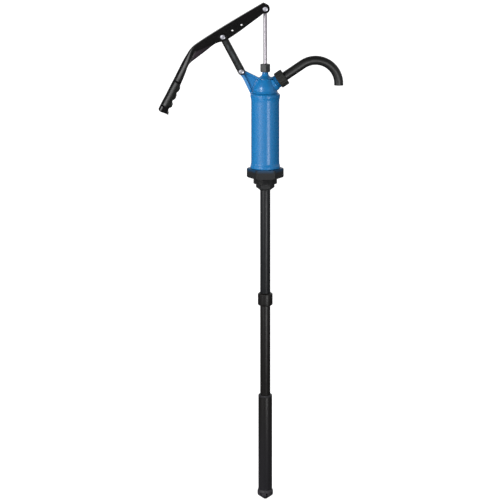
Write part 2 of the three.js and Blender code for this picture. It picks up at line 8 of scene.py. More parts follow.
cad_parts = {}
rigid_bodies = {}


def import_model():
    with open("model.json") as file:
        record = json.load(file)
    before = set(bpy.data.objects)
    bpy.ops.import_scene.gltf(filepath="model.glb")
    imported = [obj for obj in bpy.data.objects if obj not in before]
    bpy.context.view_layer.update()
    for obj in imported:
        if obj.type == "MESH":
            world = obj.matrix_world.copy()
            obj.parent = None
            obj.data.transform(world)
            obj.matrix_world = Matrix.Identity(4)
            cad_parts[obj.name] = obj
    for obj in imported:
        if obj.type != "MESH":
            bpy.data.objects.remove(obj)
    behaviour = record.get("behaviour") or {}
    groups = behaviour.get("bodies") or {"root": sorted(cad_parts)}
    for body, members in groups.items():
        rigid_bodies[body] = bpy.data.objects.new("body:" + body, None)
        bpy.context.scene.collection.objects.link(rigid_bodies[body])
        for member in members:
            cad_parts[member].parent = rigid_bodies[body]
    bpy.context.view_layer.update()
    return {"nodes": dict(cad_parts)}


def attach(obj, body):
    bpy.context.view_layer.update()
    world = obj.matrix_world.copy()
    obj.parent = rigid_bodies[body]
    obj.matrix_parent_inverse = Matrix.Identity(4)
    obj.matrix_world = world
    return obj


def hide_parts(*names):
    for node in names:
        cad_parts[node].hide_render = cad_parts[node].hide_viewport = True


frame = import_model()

# Shapes are drawn in millimetres from the seat under the bung hexagon, which is 803 mm above the row's origin.
SEAT = 803.0
PORT_A = math.radians(34.1)
PORT_Z = 218.5
ROD_PIN, FULCRUM, LUG = (0.0, 421.0), (-105.9, 351.5), (-59.6, 264.75)
scene = bpy.context.scene


# ------------------------------------------------------------------ mesh helpers
def lin(r, g, b):
    def f(c):
        c /= 255.0
        return c / 12.92 if c <= 0.04045 else ((c + 0.055) / 1.055) ** 2.4
    return (f(r), f(g), f(b), 1.0)


def bake(obj):
    """Applies obj's modifiers."""
    bpy.context.view_layer.update()
    dg = bpy.context.evaluated_depsgraph_get()
    mesh = bpy.data.meshes.new_from_object(obj.evaluated_get(dg), depsgraph=dg)
    old = obj.data
    obj.modifiers.clear()
    obj.data = mesh
    bpy.data.meshes.remove(old)
    return obj


def shade(obj, angle=32):
    for p in obj.data.polygons:
        p.use_smooth = True
    obj.data.set_sharp_from_angle(angle=math.radians(angle))


def raw(name, verts, faces, xf=None):
    """A mesh object from millimetre coordinates, with its normals facing out."""
    mesh = bpy.data.meshes.new(name)
    mesh.from_pydata([tuple(v) for v in verts], [], faces)
    bm = bmesh.new()
    bm.from_mesh(mesh)
    bmesh.ops.remove_doubles(bm, verts=bm.verts, dist=1e-4)
    bmesh.ops.recalc_face_normals(bm, faces=bm.faces)
    if xf is not None:
        bmesh.ops.transform(bm, matrix=xf, verts=bm.verts)
    bm.to_mesh(mesh)
    bm.free()
    obj = bpy.data.objects.new(name, mesh)
    scene.collection.objects.link(obj)
    return obj


def place(obj, body, material, replaces=(), angle=32, name=None):
    """Turns millimetres from the seat into metres in the row frame, and rides the body."""
    obj.data.transform(Matrix.Translation((0, 0, SEAT)))
    obj.data.transform(Matrix.Scale(0.001, 4))
    if angle:
        shade(obj, angle)
    obj.data.materials.clear()
    obj.data.materials.append(material)
    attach(obj, body)
    if replaces:
        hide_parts(*replaces)
    return obj


def fillet(points, closed=True, steps=5):
    """Rounds the corners of an outline. Each point is (x, y) or (x, y, radius)."""
    out, n = [], len(points)
    for i, p in enumerate(points):
        r = p[2] if len(p) > 2 else 0.0
        if r <= 0 or (not closed and i in (0, n - 1)):
            out.append((p[0], p[1]))
            continue
        a, b, c = (Vector(points[i - 1][:2]), Vector(p[:2]), Vector(points[(i + 1) % n][:2]))
        u, v = (a - b), (c - b)
        lu, lv = u.length, v.length
        u, v = u / lu, v / lv
        cosang = max(-1, min(1, u.dot(v)))
        ang = math.acos(cosang)
        if ang > math.pi - 0.02:
            out.append((p[0], p[1]))
            continue
        t = min(r / math.tan(ang / 2), lu * 0.49, lv * 0.49)
        r = t * math.tan(ang / 2)
        mid = (u + v).normalized()
        centre = b + mid * (r / math.sin(ang / 2))
        p0, p1 = b + u * t, b + v * t
        a0 = math.atan2(p0.y - centre.y, p0.x - centre.x)
        a1 = math.atan2(p1.y - centre.y, p1.x - centre.x)
        d = (a1 - a0 + math.pi) % (2 * math.pi) - math.pi
        for k in range(steps + 1):
            w = a0 + d * k / steps
            out.append((centre.x + r * math.cos(w), centre.y + r * math.sin(w)))
    return out


def lathe(name, profile, seg=96, xf=None, closed=True, steps=5, radius=None):
    """Turns an outline of (radius, height[, fillet]) about Z. radius(angle, r, z) may change a point's radius."""
    pts = fillet(profile, closed, steps)
    rings, verts = [], []
    for r, z in pts:
        if r < 1e-6:
            rings.append([len(verts)])
            verts.append((0, 0, z))
        else:
            ring = []
            for k in range(seg):
                a = 2 * math.pi * k / seg
                rr = radius(a, r, z) if radius else r
                ring.append(len(verts))
                verts.append((rr * math.cos(a), rr * math.sin(a), z))
            rings.append(ring)
    faces, n = [], len(rings)
    for i in range(n if closed else n - 1):
        a, b = rings[i], rings[(i + 1) % n]
        if len(a) == 1 and len(b) == 1:
            continue
        for k in range(seg):
            k2 = (k + 1) % seg
            if len(a) == 1:
                faces.append((a[0], b[k2], b[k]))
            elif len(b) == 1:
                faces.append((a[k], a[k2], b[0]))
            else:
                faces.append((a[k], a[k2], b[k2], b[k]))
    return raw(name, verts, faces, xf)


def prism(name, outline, y0, y1, xf=None):
    """A plate from an outline in X and Z, between two values of Y."""
    n = len(outline)
    verts = [(x, y0, z) for x, z in outline] + [(x, y1, z) for x, z in outline]
    faces = [tuple(range(n)), tuple(range(2 * n - 1, n - 1, -1))]
    faces += [(i, (i + 1) % n, n + (i + 1) % n, n + i) for i in range(n)]
    return raw(name, verts, faces, xf)


def rod_y(name, x, z, r, y0, y1, seg=48):
    """A round bar along Y."""
    return lathe(name, [(0, y0), (r, y0), (r, y1), (0, y1)], seg,
                 Matrix.Translation((x, 0, z)) @ Matrix.Rotation(-math.pi / 2, 4, "X"), closed=False)


def boolean(obj, tool, op="DIFFERENCE", keep=False):
    m = obj.modifiers.new("b", "BOOLEAN")
    m.operation, m.solver, m.object = op, "EXACT", tool
    bake(obj)
    if not keep:
        bpy.data.objects.remove(tool)
    return obj


def soften(obj, width=0.4, segments=2, angle=35):
    m = obj.modifiers.new("bev", "BEVEL")
    m.width, m.segments, m.limit_method, m.angle_limit = width, segments, "ANGLE", math.radians(angle)
    m.harden_normals = False
    m.use_clamp_overlap = True
    return bake(obj)


def hex_radius(af, power=90):
    def f(a):
        s = 0.0
        for k in range(6):
            c = math.cos(a - math.pi / 6 - k * math.pi / 3)
            if c > 0:
                s += c ** power
        return af / 2 * s ** (-1 / power)
    return f


def hex_piece(name, af, z0, z1, bore=0.0, top=True, bottom=False, turn=0.0, seg=144, xf=None, domed=0.0, face=0.475, top_bore=None, step=0.0, power=160):
    """A six-sided nut or bolt head about Z with turned chamfers. At turn 0 two corners lie on the X axis."""
    hexr = hex_radius(af, power)
    top_bore = bore if top_bore is None else top_bore
    slope = math.tan(math.radians(30))
    ch = (af / math.sqrt(3) - face * af) * slope
    levels = set()
    lo, hi = z0, z1
    levels |= {lo, hi}
    k = 9
    if top:
        levels |= {hi - ch * 1.05 * (i / k) for i in range(k + 1)}
    if bottom:
        levels |= {lo + ch * 1.05 * (i / k) for i in range(k + 1)}
    levels = sorted(levels)
    verts, rings = [], []

    def ring(fun, z):
        r = []
        for i in range(seg):
            a = 2 * math.pi * i / seg
            rr = fun(a - math.radians(turn))
            r.append(len(verts))
            verts.append((rr * math.cos(a), rr * math.sin(a), z))
        rings.append(r)

    def limit(z):
        m = 1e9
        if top:
            m = min(m, face * af + (hi - z) / slope)
        if bottom:
            m = min(m, face * af + (z - lo) / slope)
        return m
    if bore:
        ring(lambda a: bore + 0.5, lo)
        ring(lambda a: (bore + face * af) / 2, lo)
    else:
        ring(lambda a: af * 0.16, lo)
    for z in levels:
        c = limit(z)
        ring(lambda a, c=c: min(hexr(a), c), z)
    if bore:
        ring(lambda a: (top_bore + face * af) / 2, hi)
        ring(lambda a: top_bore + 0.6, hi)
        ring(lambda a: top_bore, hi - 0.6)
        if top_bore != bore:
            ring(lambda a: top_bore, step)
            ring(lambda a: bore, step)
        ring(lambda a: bore, lo + 0.5)
    else:
        ring(lambda a: face * af * 0.9, hi + domed * 0.4)
        ring(lambda a: face * af * 0.55, hi + domed * 0.85)
        ring(lambda a: af * 0.16, hi + domed)
    faces = []
    n = len(rings)
    for i in range(n if bore else n - 1):
        a, b = rings[i], rings[(i + 1) % n]
        for k in range(seg):
            k2 = (k + 1) % seg
            faces.append((a[k], a[k2], b[k2], b[k]))
    if not bore:
        faces.append(tuple(rings[0]))
        faces.append(tuple(rings[-1]))
    return raw(name, verts, faces, xf)


def thread_radius(r, pitch, depth, z_lo, z_hi, fade=0.0):
    """A screw thread's radius at an angle and height."""
    def f(a, rr, z):
        if rr < r - 0.01 or z < z_lo - 1e-6 or z > z_hi + 1e-6:
            return rr
        t = (z / pitch - a / (2 * math.pi)) % 1.0
        tri = 1 - abs(2 * t - 1)
        shape = min(1.0, max(0.0, (tri - 0.12) / 0.76))
        edge = 1.0
        if fade:
            edge = min(1.0, (z - z_lo) / fade, (z_hi - z) / fade)
            edge = max(0.0, edge)
        return r - depth * (1 - shape) * edge
    return f


def join(objs, name):
    """One object from several."""
    bm = bmesh.new()
    for o in objs:
        bm.from_mesh(o.data)
    mesh = bpy.data.meshes.new(name)
    bm.to_mesh(mesh)
    bm.free()
    for o in objs:
        bpy.data.objects.remove(o)
    obj = bpy.data.objects.new(name, mesh)
    scene.collection.objects.link(obj)
    return obj


# ------------------------------------------------------------------ materials
class Nodes:
    def __init__(self, name):
        self.mat = bpy.data.materials.new(name)
        self.mat.use_nodes = True
        self.t = self.mat.node_tree
        self.t.nodes.clear()
        self.out = self.n("ShaderNodeOutputMaterial")
        self.b = self.n("ShaderNodeBsdfPrincipled")
        self.link(self.b.outputs["BSDF"], self.out.inputs["Surface"])
        self.coord = self.n("ShaderNodeTexCoord").outputs["Object"]

    def n(self, kind, **props):
        node = self.t.nodes.new(kind)
        for k, v in props.items():
            setattr(node, k, v)
        return node

    def link(self, a, b):
        self.t.links.new(a, b)

    def noise(self, scale, detail=3.0, rough=0.55, stretch=None, distortion=0.0):
        vec = self.coord
        if stretch:
            m = self.n("ShaderNodeMapping")
            m.inputs["Scale"].default_value = stretch
            self.link(vec, m.inputs["Vector"])
            vec = m.outputs["Vector"]
        t = self.n("ShaderNodeTexNoise")
        t.inputs["Scale"].default_value = scale
        t.inputs["Detail"].default_value = detail
        t.inputs["Roughness"].default_value = rough
        t.inputs["Distortion"].default_value = distortion
        self.link(vec, t.inputs["Vector"])
        return t.outputs["Fac"]

    def remap(self, value, a, b, lo, hi, clamp=True):
        m = self.n("ShaderNodeMapRange")
        m.clamp = clamp
        m.inputs["From Min"].default_value, m.inputs["From Max"].default_value = a, b
        m.inputs["To Min"].default_value, m.inputs["To Max"].default_value = lo, hi
        self.link(value, m.inputs["Value"])
        return m.outputs["Result"]

    def maths(self, op, a, b=None):
        m = self.n("ShaderNodeMath", operation=op)
        for i, v in enumerate((a, b)):
            if v is None:
                continue
            if isinstance(v, (int, float)):
                m.inputs[i].default_value = v
            else:
                self.link(v, m.inputs[i])
        return m.outputs[0]

    def mix(self, fac, a, b):
        m = self.n("ShaderNodeMix", data_type="RGBA")
        for key, v in ((0, fac), (6, a), (7, b)):
            if isinstance(v, (int, float)):
                m.inputs[key].default_value = v
            elif isinstance(v, tuple):
                m.inputs[key].default_value = v
            else:
                self.link(v, m.inputs[key])
        return m.outputs[2]

    def bump(self, height, strength, distance, normal=None):
        m = self.n("ShaderNodeBump")
        m.inputs["Strength"].default_value = strength
        m.inputs["Distance"].default_value = distance
        self.link(height, m.inputs["Height"])
        if normal is not None:
            self.link(normal, m.inputs["Normal"])
        return m.outputs["Normal"]

    def edge(self, radius, lo=0.004, hi=0.05):
        """1 on outer edges and 0 on flats, from how far a rounded normal turns."""
        bev = self.n("ShaderNodeBevel", samples=4)
        bev.inputs["Radius"].default_value = radius
        geo = self.n("ShaderNodeNewGeometry")
        dot = self.n("ShaderNodeVectorMath", operation="DOT_PRODUCT")
        self.link(bev.outputs["Normal"], dot.inputs[0])
        self.link(geo.outputs["Normal"], dot.inputs[1])
        return self.remap(self.maths("SUBTRACT", 1.0, dot.outputs["Value"]), lo, hi, 0.0, 1.0)

    def set(self, key, v):
        if isinstance(v, (int, float, tuple)):
            self.b.inputs[key].default_value = v
        else:
            self.link(v, self.b.inputs[key])


def dark(c, k):
    return (c[0] * k, c[1] * k, c[2] * k, 1.0)


def grip_zone(m):
    """1 within the grip's cover, from the distance along the grip."""
    dot = m.n("ShaderNodeVectorMath", operation="DOT_PRODUCT")
    m.link(m.coord, dot.inputs[0])
    u = (-0.463, 0.0, -0.886)
    dot.inputs[1].default_value = u
    start = (-0.2333 * u[0]) + (1.0400 * u[2])
    t = m.maths("SUBTRACT", dot.outputs["Value"], start)
    return m.maths("MULTIPLY", m.remap(t, -0.0065, -0.0050, 0, 1), m.remap(t, 0.0575, 0.0585, 1, 0))


def grip_end(m):
    """1 on the short bare length past the grip cover."""
    return half_plane(m, (-262, 191), (-240, 180), 0.0006)


def half_plane(m, p, q, soft):
    """0 to 1 across the line from p to q in X and Z, 1 on its right. Millimetres from the seat."""
    (x0, z0), (x1, z1) = p, q
    l = math.hypot(x1 - x0, z1 - z0)
    nx, nz = (z1 - z0) / l, -(x1 - x0) / l
    dot = m.n("ShaderNodeVectorMath", operation="DOT_PRODUCT")
    m.link(m.coord, dot.inputs[0])
    dot.inputs[1].default_value = (nx, 0.0, nz)
    c = (x0 * nx + (z0 + SEAT) * nz) / 1000
    return m.remap(m.maths("SUBTRACT", dot.outputs["Value"], c), 0.0, soft, 0, 1)


def paint(name, colour, rough=0.3, coat=0.3, peel=0.10, cast=0.0, vary=0.08, wear=0.0, under=None, dust=0.0, metal=0.0, ior=1.5, scuff=0.0, grip=None, crease=0.0, streaks_and_sheen=0.0, foot=None, painted_reflection=None):
    """Enamel or powder coat. peel is the fine ripple of sprayed paint and cast the coarser skin of a sand casting under it."""
    m = Nodes(name)
    big, mid, fine = m.noise(22, 3), m.noise(140, 4, 0.6), m.noise(900, 2, 0.5)
    base = m.mix(m.remap(big, 0.3, 0.7, 0, 1), dark(colour, 1 - vary), dark(colour, 1 + vary))
    base = m.mix(m.remap(mid, 0.45, 0.75, 0, 0.35), base, dark(colour, 1 - 1.6 * vary))
    rgh = m.remap(mid, 0.3, 0.7, max(0.03, rough - 0.03), rough + 0.04)
    if crease:
        # painted shade: darker in the corners and creases, from ambient occlusion
        ao = m.n("ShaderNodeAmbientOcclusion")
        ao.samples = 8
        ao.inputs["Distance"].default_value = 0.006
        base = m.mix(m.remap(ao.outputs["AO"], 0.45, 0.92, crease, 0.0), base, dark(colour, 0.22))
    if dust:
        # dust lies on faces that look up
        geo = m.n("ShaderNodeNewGeometry")
        sep = m.n("ShaderNodeSeparateXYZ")
        m.link(geo.outputs["Normal"], sep.inputs[0])
        up = m.remap(sep.outputs["Z"], 0.3, 1.0, 0.0, dust)
        up = m.maths("MULTIPLY", up, m.remap(mid, 0.3, 0.7, 0.4, 1.0))
        base = m.mix(up, base, lin(150, 148, 142))
        rgh = m.maths("ADD", rgh, m.maths("MULTIPLY", up, 0.4))
    if scuff:
        scratch = m.noise(260, 5, 0.75, stretch=(1.0, 1.0, 0.12), distortion=0.6)
        s = m.remap(scratch, 0.64, 0.74, 0.0, scuff)
        base = m.mix(s, base, dark(lin(150, 150, 152), 1.0))
        rgh = m.maths("ADD", rgh, m.maths("MULTIPLY", s, 0.35))
    if wear:
        e = m.edge(0.0006)
        chips = m.maths("MULTIPLY", e, m.remap(m.noise(420, 5, 0.7), 0.48, 0.60, 0.0, wear))
        base = m.mix(chips, base, under or lin(120, 118, 116))
        rgh = m.maths("ADD", rgh, m.maths("MULTIPLY", chips, 0.2))
    if grip:
        zone = grip_zone(m)
        base = m.mix(zone, base, grip)
        rgh = m.maths("ADD", rgh, m.maths("MULTIPLY", zone, 0.08))
        # past the cover the bare coat is polished by the hand
        rgh = m.maths("SUBTRACT", rgh, m.maths("MULTIPLY", grip_end(m), 0.11))
        # painted sheen: a lighter purple-grey patch on the flat of the bend, in place of the light it reflects
        painted_bend_sheen = m.maths("MULTIPLY", half_plane(m, (-190.4, 285.0), (-174.5, 316.5), 0.0015), half_plane(m, (-174.5, 316.5), (-125.3, 338.5), 0.006))
        painted_bend_sheen = m.maths("MULTIPLY", painted_bend_sheen, half_plane(m, (-128, 330), (-140, 318), 0.045))
        base = m.mix(painted_bend_sheen, base, lin(74, 62, 73))
        rgh = m.maths("ADD", rgh, m.maths("MULTIPLY", painted_bend_sheen, 0.15))
    if foot:
        # painted light: paler towards the end that stands in the drum, in place of light from the floor below
        sep = m.n("ShaderNodeSeparateXYZ")
        m.link(m.coord, sep.inputs[0])
        painted_floor_light = m.remap(m.maths("ADD", sep.outputs["Z"], m.maths("MULTIPLY", m.noise(30, 3, 0.6, stretch=(1.0, 1.0, 0.3)), 0.06)), 0.28, 0.03, 0, 1)
        base = m.mix(painted_floor_light, base, foot)
    if painted_reflection:
        # painted reflection: the blue barrel's colour painted on the top of the hexagon it stands in
        sep = m.n("ShaderNodeSeparateXYZ")
        m.link(m.coord, sep.inputs[0])
        flat = m.n("ShaderNodeVectorMath", operation="MULTIPLY")
        m.link(m.coord, flat.inputs[0])
        flat.inputs[1].default_value = (1, 1, 0)
        away = m.n("ShaderNodeVectorMath", operation="LENGTH")
        m.link(flat.outputs[0], away.inputs[0])
        lit = m.maths("MULTIPLY", m.remap(sep.outputs["Z"], 0.8172, 0.8256, 0, 0.95), m.remap(away.outputs["Value"], 0.0462, 0.0432, 0.0, 1))
        base = m.mix(lit, base, painted_reflection)
    if streaks_and_sheen:
        # rub streaks, with painted sheen: lighter down the middle of the link and dark at its edges
        rub_and_sheen = m.maths("MULTIPLY", along_link(m), m.remap(m.noise(130, 4, 0.65, stretch=(1.0, 1.0, 0.3), distortion=1.2), 0.42, 0.64, 0.1, streaks_and_sheen))
        base = m.mix(rub_and_sheen, base, lin(96, 104, 108))
        rgh = m.maths("ADD", rgh, m.maths("MULTIPLY", rub_and_sheen, 0.2))
    m.set("Base Color", base)
    m.set("Roughness", rgh)
    m.set("Metallic", metal)
    m.set("IOR", ior)
    m.set("Coat Weight", coat)
    m.set("Coat Roughness", 0.08)
    nrm = m.bump(fine, peel, 0.00012)
    if cast:
        nrm = m.bump(m.noise(330, 4, 0.6), cast, 0.0004, nrm)
    m.set("Normal", nrm)
    return m.mat


def from_centres(m, centres):
    """Distance in metres from the nearest of some axes along Y, given in millimetres from the seat."""
    best = None
    for x, z in centres:
        v = m.n("ShaderNodeVectorMath", operation="MULTIPLY")
        m.link(m.coord, v.inputs[0])
        v.inputs[1].default_value = (1, 0, 1)
        d = m.n("ShaderNodeVectorMath", operation="DISTANCE")
        m.link(v.outputs[0], d.inputs[0])
        d.inputs[1].default_value = (x / 1000, 0, (z + SEAT) / 1000)
        best = d.outputs["Value"] if best is None else m.maths("MINIMUM", best, d.outputs["Value"])
    return best


def along_link(m):
    """1 down the middle of the link, 0 at its edges."""
    dx, dz = FULCRUM[0] - LUG[0], FULCRUM[1] - LUG[1]
    l = math.hypot(dx, dz)
    nx, nz = dz / l, -dx / l
    dot = m.n("ShaderNodeVectorMath", operation="DOT_PRODUCT")
    m.link(m.coord, dot.inputs[0])
    dot.inputs[1].default_value = (nx, 0.0, nz)
    c = (LUG[0] * nx + (LUG[1] + SEAT) * nz) / 1000
    return m.remap(m.maths("ABSOLUTE", m.maths("SUBTRACT", dot.outputs["Value"], c)), 0.0015, 0.0048, 1, 0)


def metal(name, colour, rough=0.25, lines=0.25, axis=(1, 1, 30), spots=0.06, scale=60, bump=0.04, stain=0.15, centres=None):
    """Bare or plated metal with tool lines along one axis."""
    m = Nodes(name)
    cloud, grain, line = m.noise(45, 4), m.noise(1500, 3, 0.7), m.noise(scale, 4, 0.7, stretch=axis)
    base = m.mix(m.remap(cloud, 0.3, 0.7, 0, 1), dark(colour, 1 - spots), dark(colour, 1.0))
    base = m.mix(m.remap(m.noise(180, 5, 0.7), 0.55, 0.75, 0, stain), base, dark(colour, 0.55))
    if centres:
        # the plating is darker on the flanks than on the face, by distance from the bolt's axis
        base = m.mix(m.remap(from_centres(m, centres), 0.0052, 0.0063, 0, 0.93), base, lin(40, 38, 44))
    m.set("Base Color", base)
    m.set("Metallic", 1.0)
    r = m.maths("ADD", m.remap(line, 0.3, 0.7, max(0.03, rough - lines * 0.4), rough + lines * 0.4), m.remap(cloud, 0.3, 0.7, -0.02, 0.06))
    m.set("Roughness", r)
    n1 = m.bump(line, bump * 2, 0.00005)
    m.set("Normal", m.bump(grain, bump, 0.00004, n1))
    return m.mat


def polymer(name, colour, rough=0.5, grain=0.15, scale=1400, vary=0.12):
    """Moulded plastic or rubber."""
    m = Nodes(name)
    big, fine, mid = m.noise(30, 3), m.noise(scale, 3, 0.6), m.noise(200, 4)
    m.set("Base Color", m.mix(m.remap(big, 0.3, 0.7, 0, 1), dark(colour, 1 - vary), dark(colour, 1 + vary)))
    m.set("Roughness", m.remap(mid, 0.3, 0.7, rough - 0.07, rough + 0.1))
    m.set("Normal", m.bump(fine, grain, 0.00015))
    return m.mat


BLUE = (0.0105, 0.192, 0.488, 1.0)
STEEL_GREY = lin(120, 116, 112)
M = {
    "blue": paint("blue_enamel", BLUE, rough=0.27, coat=0.0, peel=0.012, vary=0.03, wear=0.10, under=lin(60, 84, 104), dust=0.03),
    # painted shade: the head's blue is the barrel's blue darkened to 0.9 for the dimmer light on the dome, with
    # painted shade in its creases as well
    "blue_cast_shaded": paint("blue_enamel_on_casting_shaded", dark(BLUE, 0.9), rough=0.23, coat=0.0, peel=0.02, cast=0.03, crease=0.65, vary=0.04, wear=0.04, under=lin(60, 84, 104), dust=0.0),
    # painted reflection of the blue barrel on the top of the hexagon
    "bung": paint("black_phosphate_bung", lin(33, 34, 36), rough=0.42, coat=0.0, peel=0.08, cast=0.12, vary=0.14, wear=0.25, under=STEEL_GREY, dust=0.05, painted_reflection=lin(8, 72, 112)),
    "black_cast": paint("black_phosphate_casting", lin(33, 34, 36), rough=0.42, coat=0.0, peel=0.08, cast=0.12, vary=0.14, wear=0.25, under=STEEL_GREY, dust=0.05),
    "black_nut": paint("black_gland_nut", lin(47, 50, 51), rough=0.30, coat=0.0, peel=0.08, cast=0.05, vary=0.12, wear=0.3, under=STEEL_GREY),
    "black_gloss": paint("black_powder_coat", lin(9, 8, 9), rough=0.20, coat=0.0, ior=1.48, peel=0.08, vary=0.12, wear=0.10, under=lin(80, 78, 76), dust=0.02),
    "lever": paint("black_powder_coat_lever", lin(5, 4, 5), rough=0.19, coat=0.0, ior=1.48, peel=0.08, vary=0.12, wear=0.10, under=lin(80, 78, 76), dust=0.0, grip=lin(3, 5, 3)),
    "black_tube": paint("black_tube_paint", lin(20, 22, 26), rough=0.37, coat=0.0, peel=0.05, vary=0.10, wear=0.1),
    "brown_tube": paint("brown_black_tube_paint", lin(17, 14, 13), rough=0.38, coat=0.0, peel=0.05, vary=0.10, wear=0.1),
    # painted light: the sleeve is paler towards its bottom end
    "sleeve": paint("sleeve_paint", lin(18, 15, 14), rough=0.38, coat=0.0, peel=0.05, vary=0.10, wear=0.1, foot=lin(42, 41, 46)),
    "foot": polymer("foot_plastic", lin(60, 58, 63), rough=0.46, grain=0.12),
    "spout": paint("black_spout_paint", lin(16, 17, 16), rough=0.40, coat=0.0, peel=0.10, vary=0.12, wear=0.1, dust=0.02, scuff=0.03),
    "rod": metal("polished_steel_rod", lin(205, 199, 207), rough=0.33, lines=0.02, axis=(60, 60, 1), spots=0.02, scale=40, stain=0.02, bump=0.0),
    "zinc": metal("bright_zinc_plate", lin(196, 197, 206), rough=0.26, lines=0.12, axis=(30, 1, 30), spots=0.10, scale=60, stain=0.2, bump=0.01),
    "bolt": metal("zinc_bolt", lin(214, 214, 224), rough=0.30, lines=0.12, axis=(30, 1, 30), spots=0.12, scale=60, stain=0.3, bump=0.01, centres=[(0, 421), FULCRUM, LUG]),
    # rub streaks and painted sheen down the middle of the link
    "link": paint("black_powder_coat_link", lin(20, 22, 22), rough=0.30, coat=0.0, ior=1.48, peel=0.10, vary=0.25, wear=0.10, under=lin(80, 78, 76), streaks_and_sheen=0.45),
    "brass": metal("turned_brass", lin(196, 158, 84), rough=0.30, lines=0.15, axis=(1, 1, 40), spots=0.12, scale=60, stain=0.3, bump=0.02),
    "rubber": polymer("nitrile_rubber", lin(26, 26, 27), rough=0.68, grain=0.2),
    "plastic": polymer("black_moulded_plastic", lin(42, 41, 45), rough=0.46, grain=0.12),
    "union": polymer("black_union_plastic", lin(32, 33, 30), rough=0.44, grain=0.2),
}


# ------------------------------------------------------------------ turned pieces on the pump axis
def build_body():
    o = lathe("visual_barrel", [
        (31, 23.1), (36.9, 23.1, 0.8), (37.25, 25.6, 1.5), (36.9, 29.4, 3), (35.5, 33.8, 4), (35.15, 36.5, 3), (35.15, 190.0, 4), (35.75, 195.2), (33, 195.2), (33, 201.5, 0.5), (31, 201.5, 0.5)], 160)
    place(o, "pump_body", M["blue"], ["barrel"])

    # suction tubes
    o = lathe("visual_suction_tube_upper", [(11.2, -303.9), (12.7, -303.9, 0.4), (12.7, 1.4, 0.4), (11.2, 1.4)], 72)
    place(o, "pump_body", M["black_tube"], ["suction_tube_upper"])
    o = lathe("visual_suction_tube_lower", [(11.2, -568), (12.7, -568, 0.4), (12.7, -304.5, 0.4), (11.2, -304.5)], 72)
    place(o, "pump_body", M["brown_tube"], ["suction_tube_lower"])
    o = lathe("visual_tube_coupling", [
        (13.0, -320, 0.4), (15.2, -320, 0.8), (18.5, -317.6, 1.6), (18.5, -291.4, 1.6), (15.2, -288.8, 0.8), (13.0, -288.8, 0.4)], 96, steps=6)
    place(o, "pump_body", M["brown_tube"], ["tube_coupling"])

    # tube nut under the adaptor
    o = hex_piece("visual_suction_tube_nut", 40.4, -27.4, -15.3, bore=13.0, top=True, bottom=True)
    place(o, "pump_body", M["black_cast"], ["suction_tube_nut"])
    o = lathe("visual_suction_tube_ferrule", [(13.0, -31.2, 0.3), (14.6, -31.2, 0.5), (19.6, -27.0, 0.8), (13.0, -27.0)], 72)
    place(o, "pump_body", M["black_cast"])

    # gland nut
    o = hex_piece("visual_gland_nut", 22.8, 262.8, 282.8, bore=7.05, top_bore=5.05, step=278.6, top=True, bottom=True, turn=39)
    place(o, "pump_body", M["black_nut"], ["gland_nut"])


def build_adaptor():
    body = hex_piece("visual_bung_nut", 80.1, 0, 22.8, bore=27, top=True, bottom=True, face=0.545, seg=288, power=420)
    place(body, "drum_adaptor", M["bung"], ["bung_nut"])
    thread = lathe("visual_bung_thread", [(26.0, 0.3)] + [(29.8 if -15 < z < 0.2 else 28.6, z) for z in [0.3 - 0.275 * k for k in range(56)]] + [(27.6, -15.0), (21.3, -15.0), (21.3, -4.2), (26.0, -4.2)],
                   120, radius=thread_radius(29.8, 2.2, 1.1, -14.4, -0.6, 0.9))
    place(thread, "drum_adaptor", M["black_cast"])


